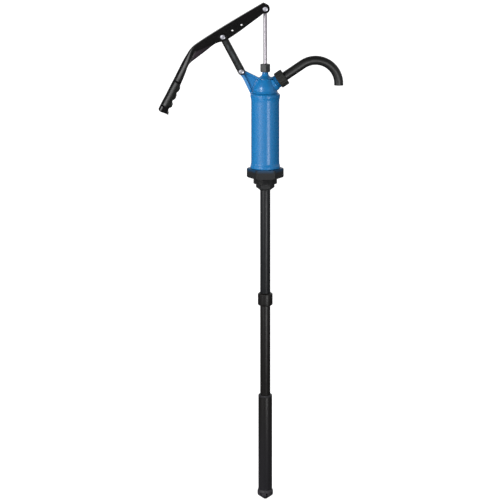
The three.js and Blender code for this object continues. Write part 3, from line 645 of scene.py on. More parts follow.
# ------------------------------------------------------------------ cast head
def build_head():
    parts = []
    dome = lathe("d", [
        (0, 204), (35.2, 204), (35.6, 206.6), (34.2, 209.2, 0.6), (31.6, 211.8, 3), (29.5, 216.4, 3), (29.0, 222, 8), (28.0, 227, 8), (26.2, 232, 8), (23.9, 237.0, 8),
        (21.6, 241.2, 5), (19.6, 244.4, 1), (19.4, 246.2, 0.5), (19.6, 247.0, 0.8), (14.6, 249.8, 5), (9.6, 253.8, 4), (7.8, 257.6, 3), (7.5, 262), (7.5, 268), (0, 268)], 144, closed=False)
    parts.append(dome)
    tilt = Matrix.Translation((0, 0, PORT_Z)) @ Matrix.Rotation(math.pi / 2 - PORT_A, 4, "Y")
    parts.append(lathe("s", [(0, 6), (18.6, 6), (18.6, 30, 2), (16.6, 32.4, 1.0), (15.4, 33), (15.4, 47), (0, 47)], 80, tilt, closed=False))
    bx, bz = LUG
    parts.append(prism("w", [(-18, 207.5), (-36.2, 207.5), (-38.1, 212.5), (-40.6, 217.5), (-45.4, 227.5), (-50.1, 237.5), (-54.8, 247.5), (-61.1, 257.5),
                             (bx - 3, bz + 2), (bx + 4, bz + 2), (-53.1, 264), (-18, 247)], -2.0, 2.0))
    # left rib: its face leans away to the left
    rib_out = [(bx - 8.4, bz - 3, 5.0), (-63.8, 257.5, 4.8), (-56.2, 247.5, 4.6), (-51.0, 237.5, 4.4), (-46.3, 227.5, 4.2), (-41.5, 217.5, 3.4), (-38.9, 212.5, 1.6), (-37.0, 207.0, 0.8)]
    rib_in = [(bx + 3, bz + 2, 6.6), (-57.3, 260.5, 6.6), (-49.6, 251.2, 6.8), (-44.3, 240.6, 6.8), (-39.6, 230.4, 6.6), (-35.2, 220.0, 5.4), (-33.0, 213.0, 3.0), (-30.5, 207.0, 2.0)]
    rv = [p for (ox, oz, oy), (ix, iz, iy) in zip(rib_out, rib_in) for p in ((ox, -oy, oz), (ix, -iy, iz), (ix, iy, iz), (ox, oy, oz))]
    rf = [(4 * i + k, 4 * i + (k + 1) % 4, 4 * i + 4 + (k + 1) % 4, 4 * i + 4 + k) for i in range(len(rib_out) - 1) for k in range(4)]
    rf += [(3, 2, 1, 0), tuple(4 * len(rib_out) - 4 + k for k in range(4))]
    parts.append(raw("l", rv, rf))
    parts.append(prism("t", [(bx - 1, bz + 4), (bx + 3, bz + 7), (-52.4, 267.2), (-14, 248.0), (-14, 243.2), (-40, 255.4), (bx + 4, bz - 2)], -6.6, 6.6))
    parts.append(rod_y("g", bx, bz, 9, -6.6, 6.6))
    o = parts[0]
    for p in parts[1:]:
        boolean(o, p, "UNION")
    m = o.modifiers.new("r", "REMESH")
    m.mode, m.voxel_size, m.adaptivity = "VOXEL", 0.6, 0.0
    m = o.modifiers.new("s", "SMOOTH")
    m.factor, m.iterations = 0.5, 7
    bake(o)
    boolean(o, lathe("c", [(0, 195.2), (35.75, 195.2), (36.9, 200.0, 3), (37.25, 203.0, 2), (37.25, 206.4, 1.0), (34.7, 209.2, 0.3), (34.0, 209.8), (0, 209.8)], 160, closed=False), "UNION")
    ring = lathe("k", [(31.6, 210.6), (35.8, 209.3), (35.8, 212.2)], 160)
    boolean(ring, prism("x", [(-60, 200), (-26, 200), (-26, 260), (-60, 260)], -9, 9))
    boolean(o, ring)
    ring = lathe("k", [(17.6, 245.6), (24.5, 244.2), (24.5, 247.2)], 160)
    boolean(ring, prism("x", [(-60, 200), (-15, 200), (-15, 260), (-60, 260)], -9, 9))
    boolean(o, ring)
    # bores, cut after the casting skin is smoothed
    boolean(o, lathe("c", [(0, 190), (33.3, 190), (33.3, 203.6), (28, 203.6), (27.4, 207.5), (24.2, 213.5), (23, 221), (21.6, 231), (18.4, 237.6), (13, 241.6), (5.05, 244.2), (5.05, 290), (0, 290)], 72, closed=False))
    boolean(o, lathe("p", [(0, 0), (11, 0), (11, 60), (0, 60)], 56, tilt, closed=False))
    boolean(o, rod_y("h", bx, bz, 4.3, -14, 14))
    o.name = "visual_pump_head"
    place(o, "pump_body", M["blue_cast_shaded"], ["pump_head"], angle=40)
    # machined thread on the port
    zs = [33.0 + 0.3 * k for k in range(52)]
    t = lathe("visual_port_thread", [(15.0, 32.6)] + [(17.0, z) for z in zs] + [(16.2, 49.1), (11.0, 49.1), (11.0, 46.6), (15.0, 46.6)], 96, tilt,
              radius=thread_radius(17.0, 2.3, 1.0, 33.4, 48.2, 0.8))
    place(t, "pump_body", M["blue_cast_shaded"])


# ------------------------------------------------------------------ fasteners along Y, heads to -Y
def bolt(name, body, x, z, face, end, node, turn=12.0):
    xf = Matrix.Translation((x, 0, z)) @ Matrix.Rotation(math.pi / 2, 4, "X")
    # local +Z looks to -Y
    head = hex_piece("h", 13, face + 0.3, face + 5.3, top=True, turn=turn, xf=xf, domed=0.5)
    washer = lathe("w", [(0, face + 0.31), (6.1, face + 0.31), (6.1, face + 0.9, 0.2), (0, face + 0.9)], 48, xf, closed=False)
    zs = [-end + 0.7 + 0.25 * k for k in range(int((end - 12) / 0.25))]
    shank = lathe("s", [(0, -end), (3.3, -end, 0.3)] + [(4.0, q) for q in zs] + [(4.0, face + 0.4), (0, face + 0.4)], 40, xf, closed=False,
                  radius=thread_radius(4.0, 1.25, 0.62, -end + 0.7, zs[-1], 0.5))
    o = join([head, washer, shank], name)
    place(o, body, M["bolt"], [node])


def nut(name, body, x, z, face, node, turn=24.0):
    xf = Matrix.Translation((x, 0, z)) @ Matrix.Rotation(-math.pi / 2, 4, "X")
    o = hex_piece(name, 13, face + 0.3, face + 6.8, bore=4.3, top=True, bottom=True, turn=turn, xf=xf)
    place(o, body, M["zinc"], [node])


# ------------------------------------------------------------------ lever
OUTER = [(-5.0, 436.3), (-62.4, 402.5), (-112.1, 372.5), (-151.6, 347.5), (-166.6, 337.5), (-174.0, 332.4), (-180.3, 327.4), (-185.2, 322.4), (-189.4, 317.5),
         (-192.9, 312.5), (-195.9, 307.5), (-204.9, 292.5), (-217.6, 267.5), (-227.6, 247.5), (-238.1, 227.5), (-248.1, 207.5), (-258.9, 187.5), (-266.4, 172.4)]
INNER = [(-265.0, 168.6), (-254.6, 162.6), (-240.9, 156.5), (-242.4, 161.4), (-242.6, 167.5), (-239.4, 173.4), (-233.2, 176.6), (-231.6, 180.2), (-232.8, 186.5),
         (-230.9, 192.5), (-225.0, 196.6), (-222.4, 200.6), (-222.2, 206.5), (-220.2, 212.4), (-215.2, 216.6), (-213.1, 221.0), (-213.2, 226.4), (-210.9, 232.5), (-204.4, 247.5),
         (-198.4, 262.5), (-192.8, 277.5), (-189.4, 283.6), (-183.4, 289.4), (-166.2, 302.6), (-146.9, 317.4), (-128.2, 332.2), (-119, 336.8), (-104, 341.2), (-90.6, 347.6), (-75, 357.6),
         (-60.6, 367.6), (-40.9, 382.4), (-20.4, 397.6), (-8.6, 406.6)]



def spline(points, step=1.5):
    """A smooth line through the points, sampled at about one step."""
    p = [Vector(q) for q in points]
    out = []
    for i in range(len(p) - 1):
        a, b = p[i], p[i + 1]
        prev = p[i - 1] if i else a * 2 - b
        nxt = p[i + 2] if i + 2 < len(p) else b * 2 - a
        d0, d1, d2 = (max(1e-6, (y - x).length ** 0.5) for x, y in ((prev, a), (a, b), (b, nxt)))
        m1 = (a - prev) / d0 - (b - prev) / (d0 + d1) + (b - a) / d1
        m2 = (b - a) / d1 - (nxt - a) / (d1 + d2) + (nxt - b) / d2
        m1, m2 = m1 * d1, m2 * d1
        n = max(1, round((b - a).length / step))
        for k in range(n):
            t = k / n
            out.append(a * (2 * t ** 3 - 3 * t ** 2 + 1) + m1 * (t ** 3 - 2 * t ** 2 + t) + b * (-2 * t ** 3 + 3 * t ** 2) + m2 * (t ** 3 - t ** 2))
    out.append(p[-1])
    return [(q.x, q.y) for q in out]


def near(points, line, closed=False):
    """Each point's distance to a polyline, and how far along the line its nearest point is."""
    pts = np.asarray(points, float)
    ln = np.asarray(line, float)
    if closed:
        ln = np.vstack([ln, ln[:1]])
    a, b = ln[:-1], ln[1:]
    d = b - a
    l2 = (d ** 2).sum(1)
    seg = np.sqrt(l2)
    start = np.concatenate([[0], np.cumsum(seg)[:-1]])
    dist = np.full(len(pts), 1e9)
    along = np.zeros(len(pts))
    for i in range(len(a)):
        if l2[i] < 1e-12:
            continue
        t = np.clip(((pts - a[i]) @ d[i]) / l2[i], 0, 1)
        q = a[i] + t[:, None] * d[i]
        e = np.hypot(*(pts - q).T)
        m = e < dist
        dist[m] = e[m]
        along[m] = start[i] + t[m] * seg[i]
    return dist, along


def inside(points, poly):
    pts = np.asarray(points, float)
    c = np.zeros(len(pts), bool)
    n = len(poly)
    for i in range(n):
        (x0, y0), (x1, y1) = poly[i], poly[(i + 1) % n]
        if y0 == y1:
            continue
        m = ((y0 > pts[:, 1]) != (y1 > pts[:, 1])) & (pts[:, 0] < (x1 - x0) * (pts[:, 1] - y0) / (y1 - y0) + x0)
        c ^= m
    return c


def field_plate(name, outline, holes, height, extra, spacing):
    """A plate in X and Z whose half thickness is height(points), the same to both sides of Y = 0."""
    rims = [outline] + [[(x + r * math.cos(2 * math.pi * k / n), z + r * math.sin(2 * math.pi * k / n)) for k in range(n)] for x, z, r, n in holes]
    pts = [p for rim in rims for p in rim]
    edges, base = [], 0
    for rim in rims:
        edges += [(base + k, base + (k + 1) % len(rim)) for k in range(len(rim))]
        base += len(rim)
    arr = np.asarray(outline, float)
    lo, hi = arr.min(0), arr.max(0)
    gx = np.arange(lo[0], hi[0], spacing)
    gz = np.arange(lo[1], hi[1], spacing)
    grid = np.array([(x + (0.5 * spacing if j % 2 else 0), z) for j, z in enumerate(gz) for x in gx])
    extra = np.asarray(extra, float).reshape(-1, 2)
    grid = grid[inside(grid, outline)]
    if len(extra):
        extra = extra[inside(extra, outline)]
        ed = np.full(len(extra), 1e9)
        for rim in rims:
            ed = np.minimum(ed, near(extra, rim, True)[0])
        extra = extra[ed > 0.08]
        kd = kdtree.KDTree(len(extra))
        for i, p in enumerate(extra):
            kd.insert((p[0], p[1], 0), i)
        kd.balance()
        keep = [kd.find((p[0], p[1], 0))[2] > spacing * 0.7 for p in grid]
        grid = grid[np.array(keep, bool)]
    gd = np.full(len(grid), 1e9)
    for rim in rims:
        gd = np.minimum(gd, near(grid, rim, True)[0])
    grid = grid[gd > spacing * 0.6]
    coords = [Vector(p) for p in pts] + [Vector(p) for p in extra] + [Vector(p) for p in grid]
    v, _, f, _, _, _ = geometry.delaunay_2d_cdt(coords, edges, [], 0, 1e-5)
    v = np.array([(p.x, p.y) for p in v])
    f = [tuple(q) for q in f]
    cen = np.array([v[list(q)].mean(0) for q in f])
    ok = inside(cen, outline)
    for rim in rims[1:]:
        ok &= ~inside(cen, rim)
    tris = [q for q, k in zip(f, ok) if k]
    h = height(v)
    n = len(v)
    verts = [(p[0], -y, p[1]) for p, y in zip(v, h)] + [(p[0], y, p[1]) for p, y in zip(v, h)]
    count = {}
    for q in tris:
        for k in range(3):
            e = (q[k], q[(k + 1) % 3])
            count[e] = 1
    faces = [tuple(reversed(q)) for q in tris] + [tuple(i + n for i in q) for q in tris]
    for (a, b) in count:
        if (b, a) not in count:
            faces.append((a, b, b + n, a + n))
    used = sorted({i for q in faces for i in q})
    remap = {old: new for new, old in enumerate(used)}
    return raw(name, [verts[i] for i in used], [tuple(remap[i] for i in q) for q in faces])


def smoothstep(a, b, x):
    t = np.clip((x - a) / (b - a), 0, 1)
    return t * t * (3 - 2 * t)


def build_lever():
    # the back: long straight, bend, then the grip
    back = spline(OUTER[:3], 2.0)[:-1] + spline(OUTER[2:], 1.5)
    bumps = spline(INNER[2:], 1.4)
    cut_end = [(-266.0, 170.4), (-264.8, 167.9), (-262.8, 165.6), (-260.2, 164.2), (-254, 162.2), (-248.5, 160.2), (-242.2, 156.9)]
    ear = [(11.4 * math.cos(math.radians(a)), 421 + 11.4 * math.sin(math.radians(a))) for a in range(-112, 63, 6)]
    rest = cut_end + bumps + ear
    outline = back + rest
    total = near([back[-1]], back)[1][0]
    T = 2.4

    crease = [(-190.4, 285.0), (-174.5, 316.5), (-159.2, 322.9), (-125.3, 338.5)]
    flat = crease + [(-100, 300), (-150, 240)]

    def radius(s):
        """How far round the back reaches into the flange, and how far across."""
        k = smoothstep(196, 262, s)
        e = smoothstep(371, 374, s)
        return (2.2 + 15.8 * k) * (1 - 0.4 * e), (2.2 + 9.1 * k) * (1 - 0.25 * e)

    def level(v, d, s):
        # the flat of the bend stands back from the rounded back
        w = near(v, crease)[0] * inside(v, flat)
        y = 15.0 - 1.2 * smoothstep(0, 1.8, w) - 0.05 * np.clip(w - 1, 0, 14)
        # the grip's sides draw in a little, and its cover stands proud with a hollow before it
        g = smoothstep(232, 256, s)
        y -= g * 1.0 * (np.clip((d - 16) / 12, 0, 1.2)) ** 2
        y += 0.5 * smoothstep(302, 308, s) * (1 - smoothstep(369.5, 372, s)) - 0.7 * np.exp(-((s - 300.5) / 3.2) ** 2)
        return y

    def round_back(y, d, s, less=0.0):
        ra, rb = radius(s)
        ra, rb = np.maximum(ra - less, 0.5), np.maximum(rb - less, 0.5)
        m = d < ra
        q = np.clip(1 - d / ra, 0, 1)
        y[m] -= (rb * (1 - np.sqrt(1 - q * q)))[m]
        return y

    def surface(v, d, s):
        """Half width of the outer skin before edges are eased."""
        s = np.clip(s, 0, total)
        return round_back(level(v, d, s), d, s)

    holes = [(0, 421, 4.35, 40), (FULCRUM[0], FULCRUM[1], 4.35, 40), (-82.1, 366.25, 2.75, 32), (-59.4, 380.25, 2.75, 32)]

    def height(v):
        d, s = near(v, back)
        y = surface(v, d, s)
        e = near(v, rest)[0]
        for x, z, r, _ in holes:
            e = np.minimum(e, np.abs(np.hypot(v[:, 0] - x, v[:, 1] - z) - r))
        r = 0.8
        m = (e < r) & (d > 0.05)
        y[m] -= (r - np.sqrt(np.clip(r * r - (r - e) ** 2, 0, None)))[m]
        return y

    def offsets(line, dists, side=1):
        out = []
        for i in range(1, len(line) - 1):
            t = Vector(line[i + 1]) - Vector(line[i - 1])
            n = Vector((-t.y, t.x)).normalized() * side
            for d in dists(i):
                out.append((line[i][0] + n.x * d, line[i][1] + n.y * d))
        return out
    along = near(back, back)[1]
    rr = radius(along)[0]
    phi = [math.cos(math.radians(a)) for a in (80, 70, 60, 50, 40, 30, 20, 10, 0)]
    extra = offsets(back, lambda i: [rr[i] * (1 - c) for c in reversed(phi)])
    extra = [p for p, d, k in zip(extra, near(extra, back)[0], [rr[i] * (1 - c) for i in range(1, len(back) - 1) for c in reversed(phi)]) if d > k * 0.93]
    extra += offsets(spline(crease[:2], 1.6)[:-1] + spline(crease[1:], 1.6), lambda i: [-2.4, -1.8, -1.2, -0.6, 0.0, 1.0])
    for k in (293, 295, 297, 298.5, 300, 301.5, 303, 304.5, 306, 307.5, 309, 368.5, 369.5, 370.3, 371.2, 372.1, 373.5):
        i = int(np.argmin(np.abs(along - k)))
        t = (Vector(back[i + 1]) - Vector(back[i - 1])).normalized()
        p = Vector(back[i]) + t * (k - along[i])
        extra += [(p.x - t.y * d, p.y + t.x * d) for d in (1.0, 2.0, 3.2, 4.6, 6.2, 8, 10, 12, 14, 16, 18, 20, 22, 24, 26, 28)]
    lip = offsets(rest, lambda i: [0.12, 0.4, 0.8, 1.3])
    lipd = near(lip, rest)[0]
    lip = [p for p, d, k in zip(lip, lipd, [q for _ in range(len(rest) - 2) for q in (0.12, 0.4, 0.8, 1.3)]) if d > k * 0.9]
    extra += lip
    for x, z, r, n in holes:
        for q in (0.12, 0.4, 0.8, 1.4):
            extra += [(x + (r + q) * math.cos(2 * math.pi * k / n), z + (r + q) * math.sin(2 * math.pi * k / n)) for k in range(n)]
    body = field_plate("visual_lever", outline, holes, height, extra, 1.7)

    # the hollow, one sheet thickness inside the back and out past the open edge
    inner = []
    for i in range(len(back)):
        a, b = Vector(back[max(0, i - 1)]), Vector(back[min(len(back) - 1, i + 1)])
        t = (b - a).normalized()
        inner.append((back[i][0] - t.y * T, back[i][1] + t.x * T))
    first, last = inner[0], inner[-1]
    inner = [(first[0] + 44, first[1] + 26)] + inner + [(last[0] - 18, last[1] - 36)]
    hollow = inner + [(last[0] + 60, last[1] - 50), (-150, 250), (30, 380)]

    def inner_height(v):
        d, s = near(v, inner)
        s = np.clip(s - 51, 0, total)
        return np.maximum(round_back(level(v, d + T, s) - T, d, s, T), 0.3)
    ain = near(inner, inner)[1] - 51
    rin = np.maximum(radius(np.clip(ain, 0, total))[0] - T, 0.5)
    ex = offsets(inner, lambda i: [rin[i] * (1 - c) for c in reversed(phi)])
    ex = [p for p, d, k in zip(ex, near(ex, inner)[0], [rin[i] * (1 - c) for i in range(1, len(inner) - 1) for c in reversed(phi)]) if d > k * 0.93]
    tool = field_plate("hollow", hollow, [], inner_height, ex, 4.0)
    boolean(body, tool)
    place(body, "lever_arm", M["lever"], ["lever"], angle=38)


def build_link():
    dx, dz = FULCRUM[0] - LUG[0], FULCRUM[1] - LUG[1]
    L, base = math.hypot(dx, dz), math.atan2(dz, dx)
    arm = math.hypot(FULCRUM[0] - ROD_PIN[0], FULCRUM[1] - ROD_PIN[1])
    a0 = math.atan2(FULCRUM[1] - ROD_PIN[1], FULCRUM[0] - ROD_PIN[0])
    us, vs = [], []
    for i in range(25):
        t = i / 24
        la, ka = a0 + math.radians(-40.839) * t, base + math.radians(14.044) * t
        fx, fz = ROD_PIN[0] + arm * math.cos(la) - LUG[0], ROD_PIN[1] - 100 * t + arm * math.sin(la) - LUG[1]
        us.append(fx * math.cos(ka) + fz * math.sin(ka))
        vs.append(-fx * math.sin(ka) + fz * math.cos(ka))
    uc, ru = (min(us) + max(us)) / 2, 4.4 + (max(us) - min(us)) / 2
    v0, v1 = min(vs), max(vs)

    def arc(x, y, r, a, b, n=24):
        return [(x + r * math.cos(math.radians(a + (b - a) * k / n)), y + r * math.sin(math.radians(a + (b - a) * k / n))) for k in range(n + 1)]
    w = 8.75
    bar = arc(0, 0, w, 90, 270, 36) + [(L, -w), (L, w)]
    head = arc(uc, v1, ru + 3.4, 0, 180) + arc(uc, v0, ru + 3.4, 180, 360)
    slot = arc(uc, v1, ru, 0, 180) + arc(uc, v0, ru, 180, 360)
    o = prism("visual_link", bar, -12, 12)
    boolean(o, prism("h", head, -12, 12), "UNION")
    boolean(o, prism("f", [(-20, -20), (20, -20), (20, 20), (-20, 20)], -6.9, 6.9))
    boolean(o, prism("s", slot, -20, 20))
    boolean(o, rod_y("p", 0, 0, 4.35, -20, 20))
    pocket = fillet([(17, -4.6, 3.5), (L - 19, -4.6, 3.5), (L - 19, 4.6, 3.5), (17, 4.6, 3.5)], steps=6)
    boolean(o, prism("a", pocket, -20, -10.4))
    boolean(o, prism("b", pocket, 10.4, 20))
    soften(o, 0.7, 3, 40)
    o.data.transform(Matrix.Translation((LUG[0], 0, LUG[1])) @ Matrix.Rotation(-base, 4, "Y"))
    place(o, "link_arm", M["link"], ["link"], angle=38)


def ring_y(name, x, z, r, bore, y0, y1, soft=0.4):
    return lathe(name, [(bore, y0, 0.2), (r, y0, soft), (r, y1, soft), (bore, y1, 0.2)], 64, Matrix.Translation((x, 0, z)) @ Matrix.Rotation(-math.pi / 2, 4, "X"))


def build_pins():
    bolt("visual_bracket_bolt", "pump_body", *LUG, 12, 20.4, "bracket_bolt", turn=8)
    nut("visual_bracket_nut", "pump_body", *LUG, 12, "bracket_nut")
    bolt("visual_rod_bolt", "lever_arm", *ROD_PIN, 15, 23.4, "rod_bolt", turn=20)
    nut("visual_rod_nut", "lever_arm", *ROD_PIN, 15, "rod_nut")
    bolt("visual_fulcrum_bolt", "lever_arm", *FULCRUM, 17, 25.4, "fulcrum_bolt", turn=2)
    nut("visual_fulcrum_nut", "lever_arm", *FULCRUM, 17, "fulcrum_nut")
    for tag, y0, y1 in (("front", -17, -15.3), ("rear", 15.3, 17)):
        place(ring_y("visual_fulcrum_washer_" + tag, *FULCRUM, 9.5, 4.3, y0, y1, 0.6), "lever_arm", M["black_gloss"], ["fulcrum_washer_" + tag])
    for tag, y0, y1 in (("front", -12.2, -8.3), ("rear", 8.3, 12.2)):
        place(ring_y("visual_rod_spacer_" + tag, *ROD_PIN, 7, 4.3, y0, y1, 0.5), "lever_arm", M["zinc"], ["rod_spacer_" + tag])
    place(ring_y("visual_rod_eye", *ROD_PIN, 9.8, 4.35, -8, 8, 1.2), "piston_and_rod", M["zinc"], ["rod_eye"])
    o = lathe("visual_piston_rod", [(0, 157), (4.75, 157, 0.8), (4.75, 415.6, 0.8), (0, 415.6)], 64, closed=False)
    place(o, "piston_and_rod", M["rod"], ["piston_rod"])


def build_outlet():
    tilt = Matrix.Translation((0, 0, PORT_Z)) @ Matrix.Rotation(math.pi / 2 - PORT_A, 4, "Y")

    def flute(a, r, z):
        if r < 18.5 or z < 39.1 or z > 59.2:
            return r
        big = (a * 12 / (2 * math.pi) + 0.25) % 1.0
        t = min(big, 1 - big) * 2
        groove = max(0.0, 1 - t / 0.34)
        fine = 0.14 * math.cos(a * 72)
        return r - 1.05 * (groove * groove * (3 - 2 * groove)) + (fine if groove < 0.05 else 0) - 0.14
    prof = [(17.3, 39.0, 0.3), (20.3, 39.0, 0.4), (20.9, 39.7, 0.4)] + [(20.9, 41.0 + 1.5 * k) for k in range(11)] + [(20.9, 58.3, 0.6), (19.8, 59.5, 0.5), (11.8, 59.5, 0.5), (11.8, 55.5), (17.3, 55.5, 0.3)]
    o = lathe("visual_union_nut", prof, 288, tilt, radius=flute)
    place(o, "outlet_union", M["union"], ["union_nut"], angle=42)

    t0, t1, tail, R, a = 51.6, 113.0, 4.8, 57.7, PORT_A
    l1, l2 = t1 - t0, R * (a + math.pi / 2)
    cx, cz = t1 * math.cos(a) + R * math.sin(a), t1 * math.sin(a) - R * math.cos(a)
    stations = [t * l1 / 12 for t in range(12)] + [l1 + l2 * k / 72 for k in range(73)] + [l1 + l2 + tail * k / 3 for k in (1, 2, 3)]

    def frame_at(s):
        if s <= l1:
            return ((t0 + s) * math.cos(a), (t0 + s) * math.sin(a)), (math.cos(a), math.sin(a))
        if s <= l1 + l2:
            w = math.pi / 2 + a - (s - l1) / R
            return (cx + R * math.cos(w), cz + R * math.sin(w)), (math.sin(w), -math.cos(w))
        return (cx + R, cz - (s - l1 - l2)), (0.0, -1.0)
    total, seg = l1 + l2 + tail, 72
    ro, ri = 11.45, 9.9
    loop = [(s, ro) for s in stations[:-1]] + [(total - 0.5, ro), (total - 0.15, ro - 0.15), (total, ro - 0.5), (total, ri + 0.4), (total - 0.12, ri + 0.12), (total - 0.4, ri)] + [(s, ri) for s in reversed(stations[:-1])]
    verts, faces = [], []
    for s, r in loop:
        (x, z), (tx, tz) = frame_at(s)
        for k in range(seg):
            w = 2 * math.pi * k / seg
            c, q = r * math.cos(w), r * math.sin(w)
            verts.append((x - tz * q, c, PORT_Z + z + tx * q))
    n = len(loop)
    for i in range(n):
        for k in range(seg):
            k2, j = (k + 1) % seg, (i + 1) % n
            faces.append((i * seg + k, i * seg + k2, j * seg + k2, j * seg + k))
    place(raw("visual_spout", verts, faces), "outlet_spout", M["spout"], ["spout"], angle=40)


def build_sleeve():
    place(lathe("visual_suction_sleeve", [(15.5, -777.7, 0.3), (17.25, -777.7, 0.4), (17.25, -547.8, 0.3), (15.5, -547.8, 0.3)], 96), "telescopic_sleeve", M["sleeve"], ["suction_sleeve"])
    cap = lathe("visual_sleeve_cap", [(13.0, -556, 0.3), (15.2, -556, 0.3), (15.2, -547.5), (17.25, -547.5, 0.3), (17.25, -544.8, 1.2), (16.3, -543.0, 1.2), (14.8, -542.5, 0.4), (13.0, -542.5, 0.3)], 96)
    place(cap, "telescopic_sleeve", M["plastic"], ["sleeve_cap"])
    foot = lathe("visual_foot_strainer", [
        (0, -799.4), (17, -788.6, 1), (17, -784, 1), (13, -779, 1), (13, -766.7, 0.3), (15.2, -766.7, 0.5), (15.2, -778), (17.6, -778, 0.3), (19.5, -783.0, 2.0), (19.5, -790.2, 1.5), (18.6, -792.2, 1.0), (4.4, -802.6, 0.8), (0, -803)], 128, closed=False)
    for i in range(4):
        slot = prism("s", [(-30, -794), (30, -794), (30, -784.4), (-30, -784.4)], -1.7, 1.7, Matrix.Rotation(i * math.pi / 4 + 0.2, 4, "Z"))
        boolean(foot, slot)
    soften(foot, 0.35, 2, 50)
    place(foot, "telescopic_sleeve", M["foot"], ["foot_strainer"], angle=45)


build_body()
build_adaptor()
build_head()
build_lever()
build_link()
build_pins()
build_outlet()
build_sleeve()

# ------------------------------------------------------------------ CAD pieces kept as they are
KEEP = {
    "rubber": ["base_seal", "head_seal", "gland_packing", "piston_cup", "spout_seal"],
    "brass": ["foot_valve_cage", "tube_stop_ring", "gland_washer", "piston", "piston_valve", "foot_valve"],
    "zinc": ["piston_nut", "valve_stop"],
    "black_cast": ["pump_base", "spout_collar"],
}
for key, names in KEEP.items():
    for n in names:
        node = frame["nodes"][n]
        node.data.materials.clear()
        node.data.materials.append(M[key])
        bev = node.modifiers.new("bevel", "BEVEL")
        bev.width, bev.segments, bev.limit_method, bev.angle_limit = 0.00025, 2, "ANGLE", math.radians(35)
for n, node in frame["nodes"].items():
    if node.hide_render:
        node.data.materials.clear()
        node.data.materials.append(M["black_cast"])

# ------------------------------------------------------------------ stage
floor_mesh = bpy.data.meshes.new("floor")
floor_mesh.from_pydata([(-60, -1.6, 0), (60, -1.6, 0), (60, 90, 0), (-60, 90, 0)], [], [(0, 1, 2, 3)])
floor = bpy.data.objects.new("floor", floor_mesh)
scene.collection.objects.link(floor)
floor.location = (0, 0, -0.002)
fm = Nodes("pale_floor")
fm.set("Base Color", lin(225, 225, 226))
fm.set("Roughness", 0.9)
glow = fm.n("ShaderNodeEmission")
glow.inputs["Color"].default_value = (1, 1, 1, 1)
glow.inputs["Strength"].default_value = 0.95
add = fm.n("ShaderNodeAddShader")
fm.link(fm.b.outputs["BSDF"], add.inputs[0])
fm.link(glow.outputs["Emission"], add.inputs[1])
ray = fm.n("ShaderNodeLightPath")
pick = fm.n("ShaderNodeMixShader")
fm.link(ray.outputs["Is Camera Ray"], pick.inputs[0])
dim = fm.n("ShaderNodeBsdfDiffuse")
dim.inputs["Color"].default_value = (0.22, 0.22, 0.225, 1)
fm.link(dim.outputs["BSDF"], pick.inputs[1])
fm.link(add.outputs[0], pick.inputs[2])
fm.link(pick.outputs[0], fm.out.inputs["Surface"])
floor.data.materials.append(fm.mat)

world = bpy.data.worlds.new("studio")
scene.world = world
world.use_nodes = True
wt = world.node_tree
wt.nodes.clear()
wout = wt.nodes.new("ShaderNodeOutputWorld")
wbg, cam_bg, wmix, wray = (wt.nodes.new(k) for k in ("ShaderNodeBackground", "ShaderNodeBackground", "ShaderNodeMixShader", "ShaderNodeLightPath"))
cam_bg.inputs["Strength"].default_value = 1.0
cam_bg.inputs["Color"].default_value = (1, 1, 1, 1)
# a broad soft lobe high on the left, pale behind the pump, dark behind the camera
wc = wt.nodes.new("ShaderNodeTexCoord")


def lobe(azimuth, elevation, power, strength):
    a, e = math.radians(azimuth), math.radians(elevation)
    dot = wt.nodes.new("ShaderNodeVectorMath")
    dot.operation = "DOT_PRODUCT"
    wt.links.new(wc.outputs["Generated"], dot.inputs[0])
    dot.inputs[1].default_value = (-math.sin(a) * math.cos(e), -math.cos(a) * math.cos(e), math.sin(e))
    out = dot.outputs["Value"]
    for op, v in (("MAXIMUM", 0.0), ("POWER", power), ("MULTIPLY", strength)):
        m = wt.nodes.new("ShaderNodeMath")
        m.operation = op
        wt.links.new(out, m.inputs[0])
        m.inputs[1].default_value = v
        out = m.outputs[0]
    return out


total_light = None
for args in ((42, -6, 4.0, 3.15), (180, 10, 2.0, 0.80), (-80, 8, 3.0, 0.58), (0, -90, 1.0, 0.15)):
    v = lobe(*args)
    if total_light is None:
        dim_ray = wt.nodes.new("ShaderNodeMath")
        dim_ray.operation = "MULTIPLY_ADD"
        wt.links.new(wray.outputs["Is Glossy Ray"], dim_ray.inputs[0])
        dim_ray.inputs[1].default_value, dim_ray.inputs[2].default_value = -0.86, 1.0
        total_light = wt.nodes.new("ShaderNodeMath")
        total_light.operation = "MULTIPLY"
        wt.links.new(v, total_light.inputs[0])
        wt.links.new(dim_ray.outputs[0], total_light.inputs[1])
        total_light = total_light.outputs[0]
    else:
        m = wt.nodes.new("ShaderNodeMath")
        m.operation = "ADD"
        wt.links.new(total_light, m.inputs[0])
        wt.links.new(v, m.inputs[1])
        total_light = m.outputs[0]
wbg.inputs["Color"].default_value = (1.0, 1.0, 1.0, 1)
wt.links.new(total_light, wbg.inputs["Strength"])
wt.links.new(wray.outputs["Is Camera Ray"], wmix.inputs[0])
wt.links.new(wbg.outputs[0], wmix.inputs[1])
wt.links.new(cam_bg.outputs[0], wmix.inputs[2])
wt.links.new(wmix.outputs[0], wout.inputs["Surface"])


def softbox(name, azimuth, elevation, distance, width, height, power, target=(0, 0, 0.85), tint=(1, 1, 1)):
    """azimuth is to the left of the viewer when positive, seen from the pump."""
    data = bpy.data.lights.new(name, "AREA")
    data.shape, data.size, data.size_y = "RECTANGLE", width, height
    data.energy, data.color = power, tint
    o = bpy.data.objects.new(name, data)
    scene.collection.objects.link(o)
    a, e = math.radians(azimuth), math.radians(elevation)
    t = Vector(target)
    o.location = t + Vector((-math.sin(a) * math.cos(e), -math.cos(a) * math.cos(e), math.sin(e))) * distance
    o.rotation_mode = "QUATERNION"
    o.rotation_quaternion = (t - o.location).to_track_quat("-Z", "Y")
    return o


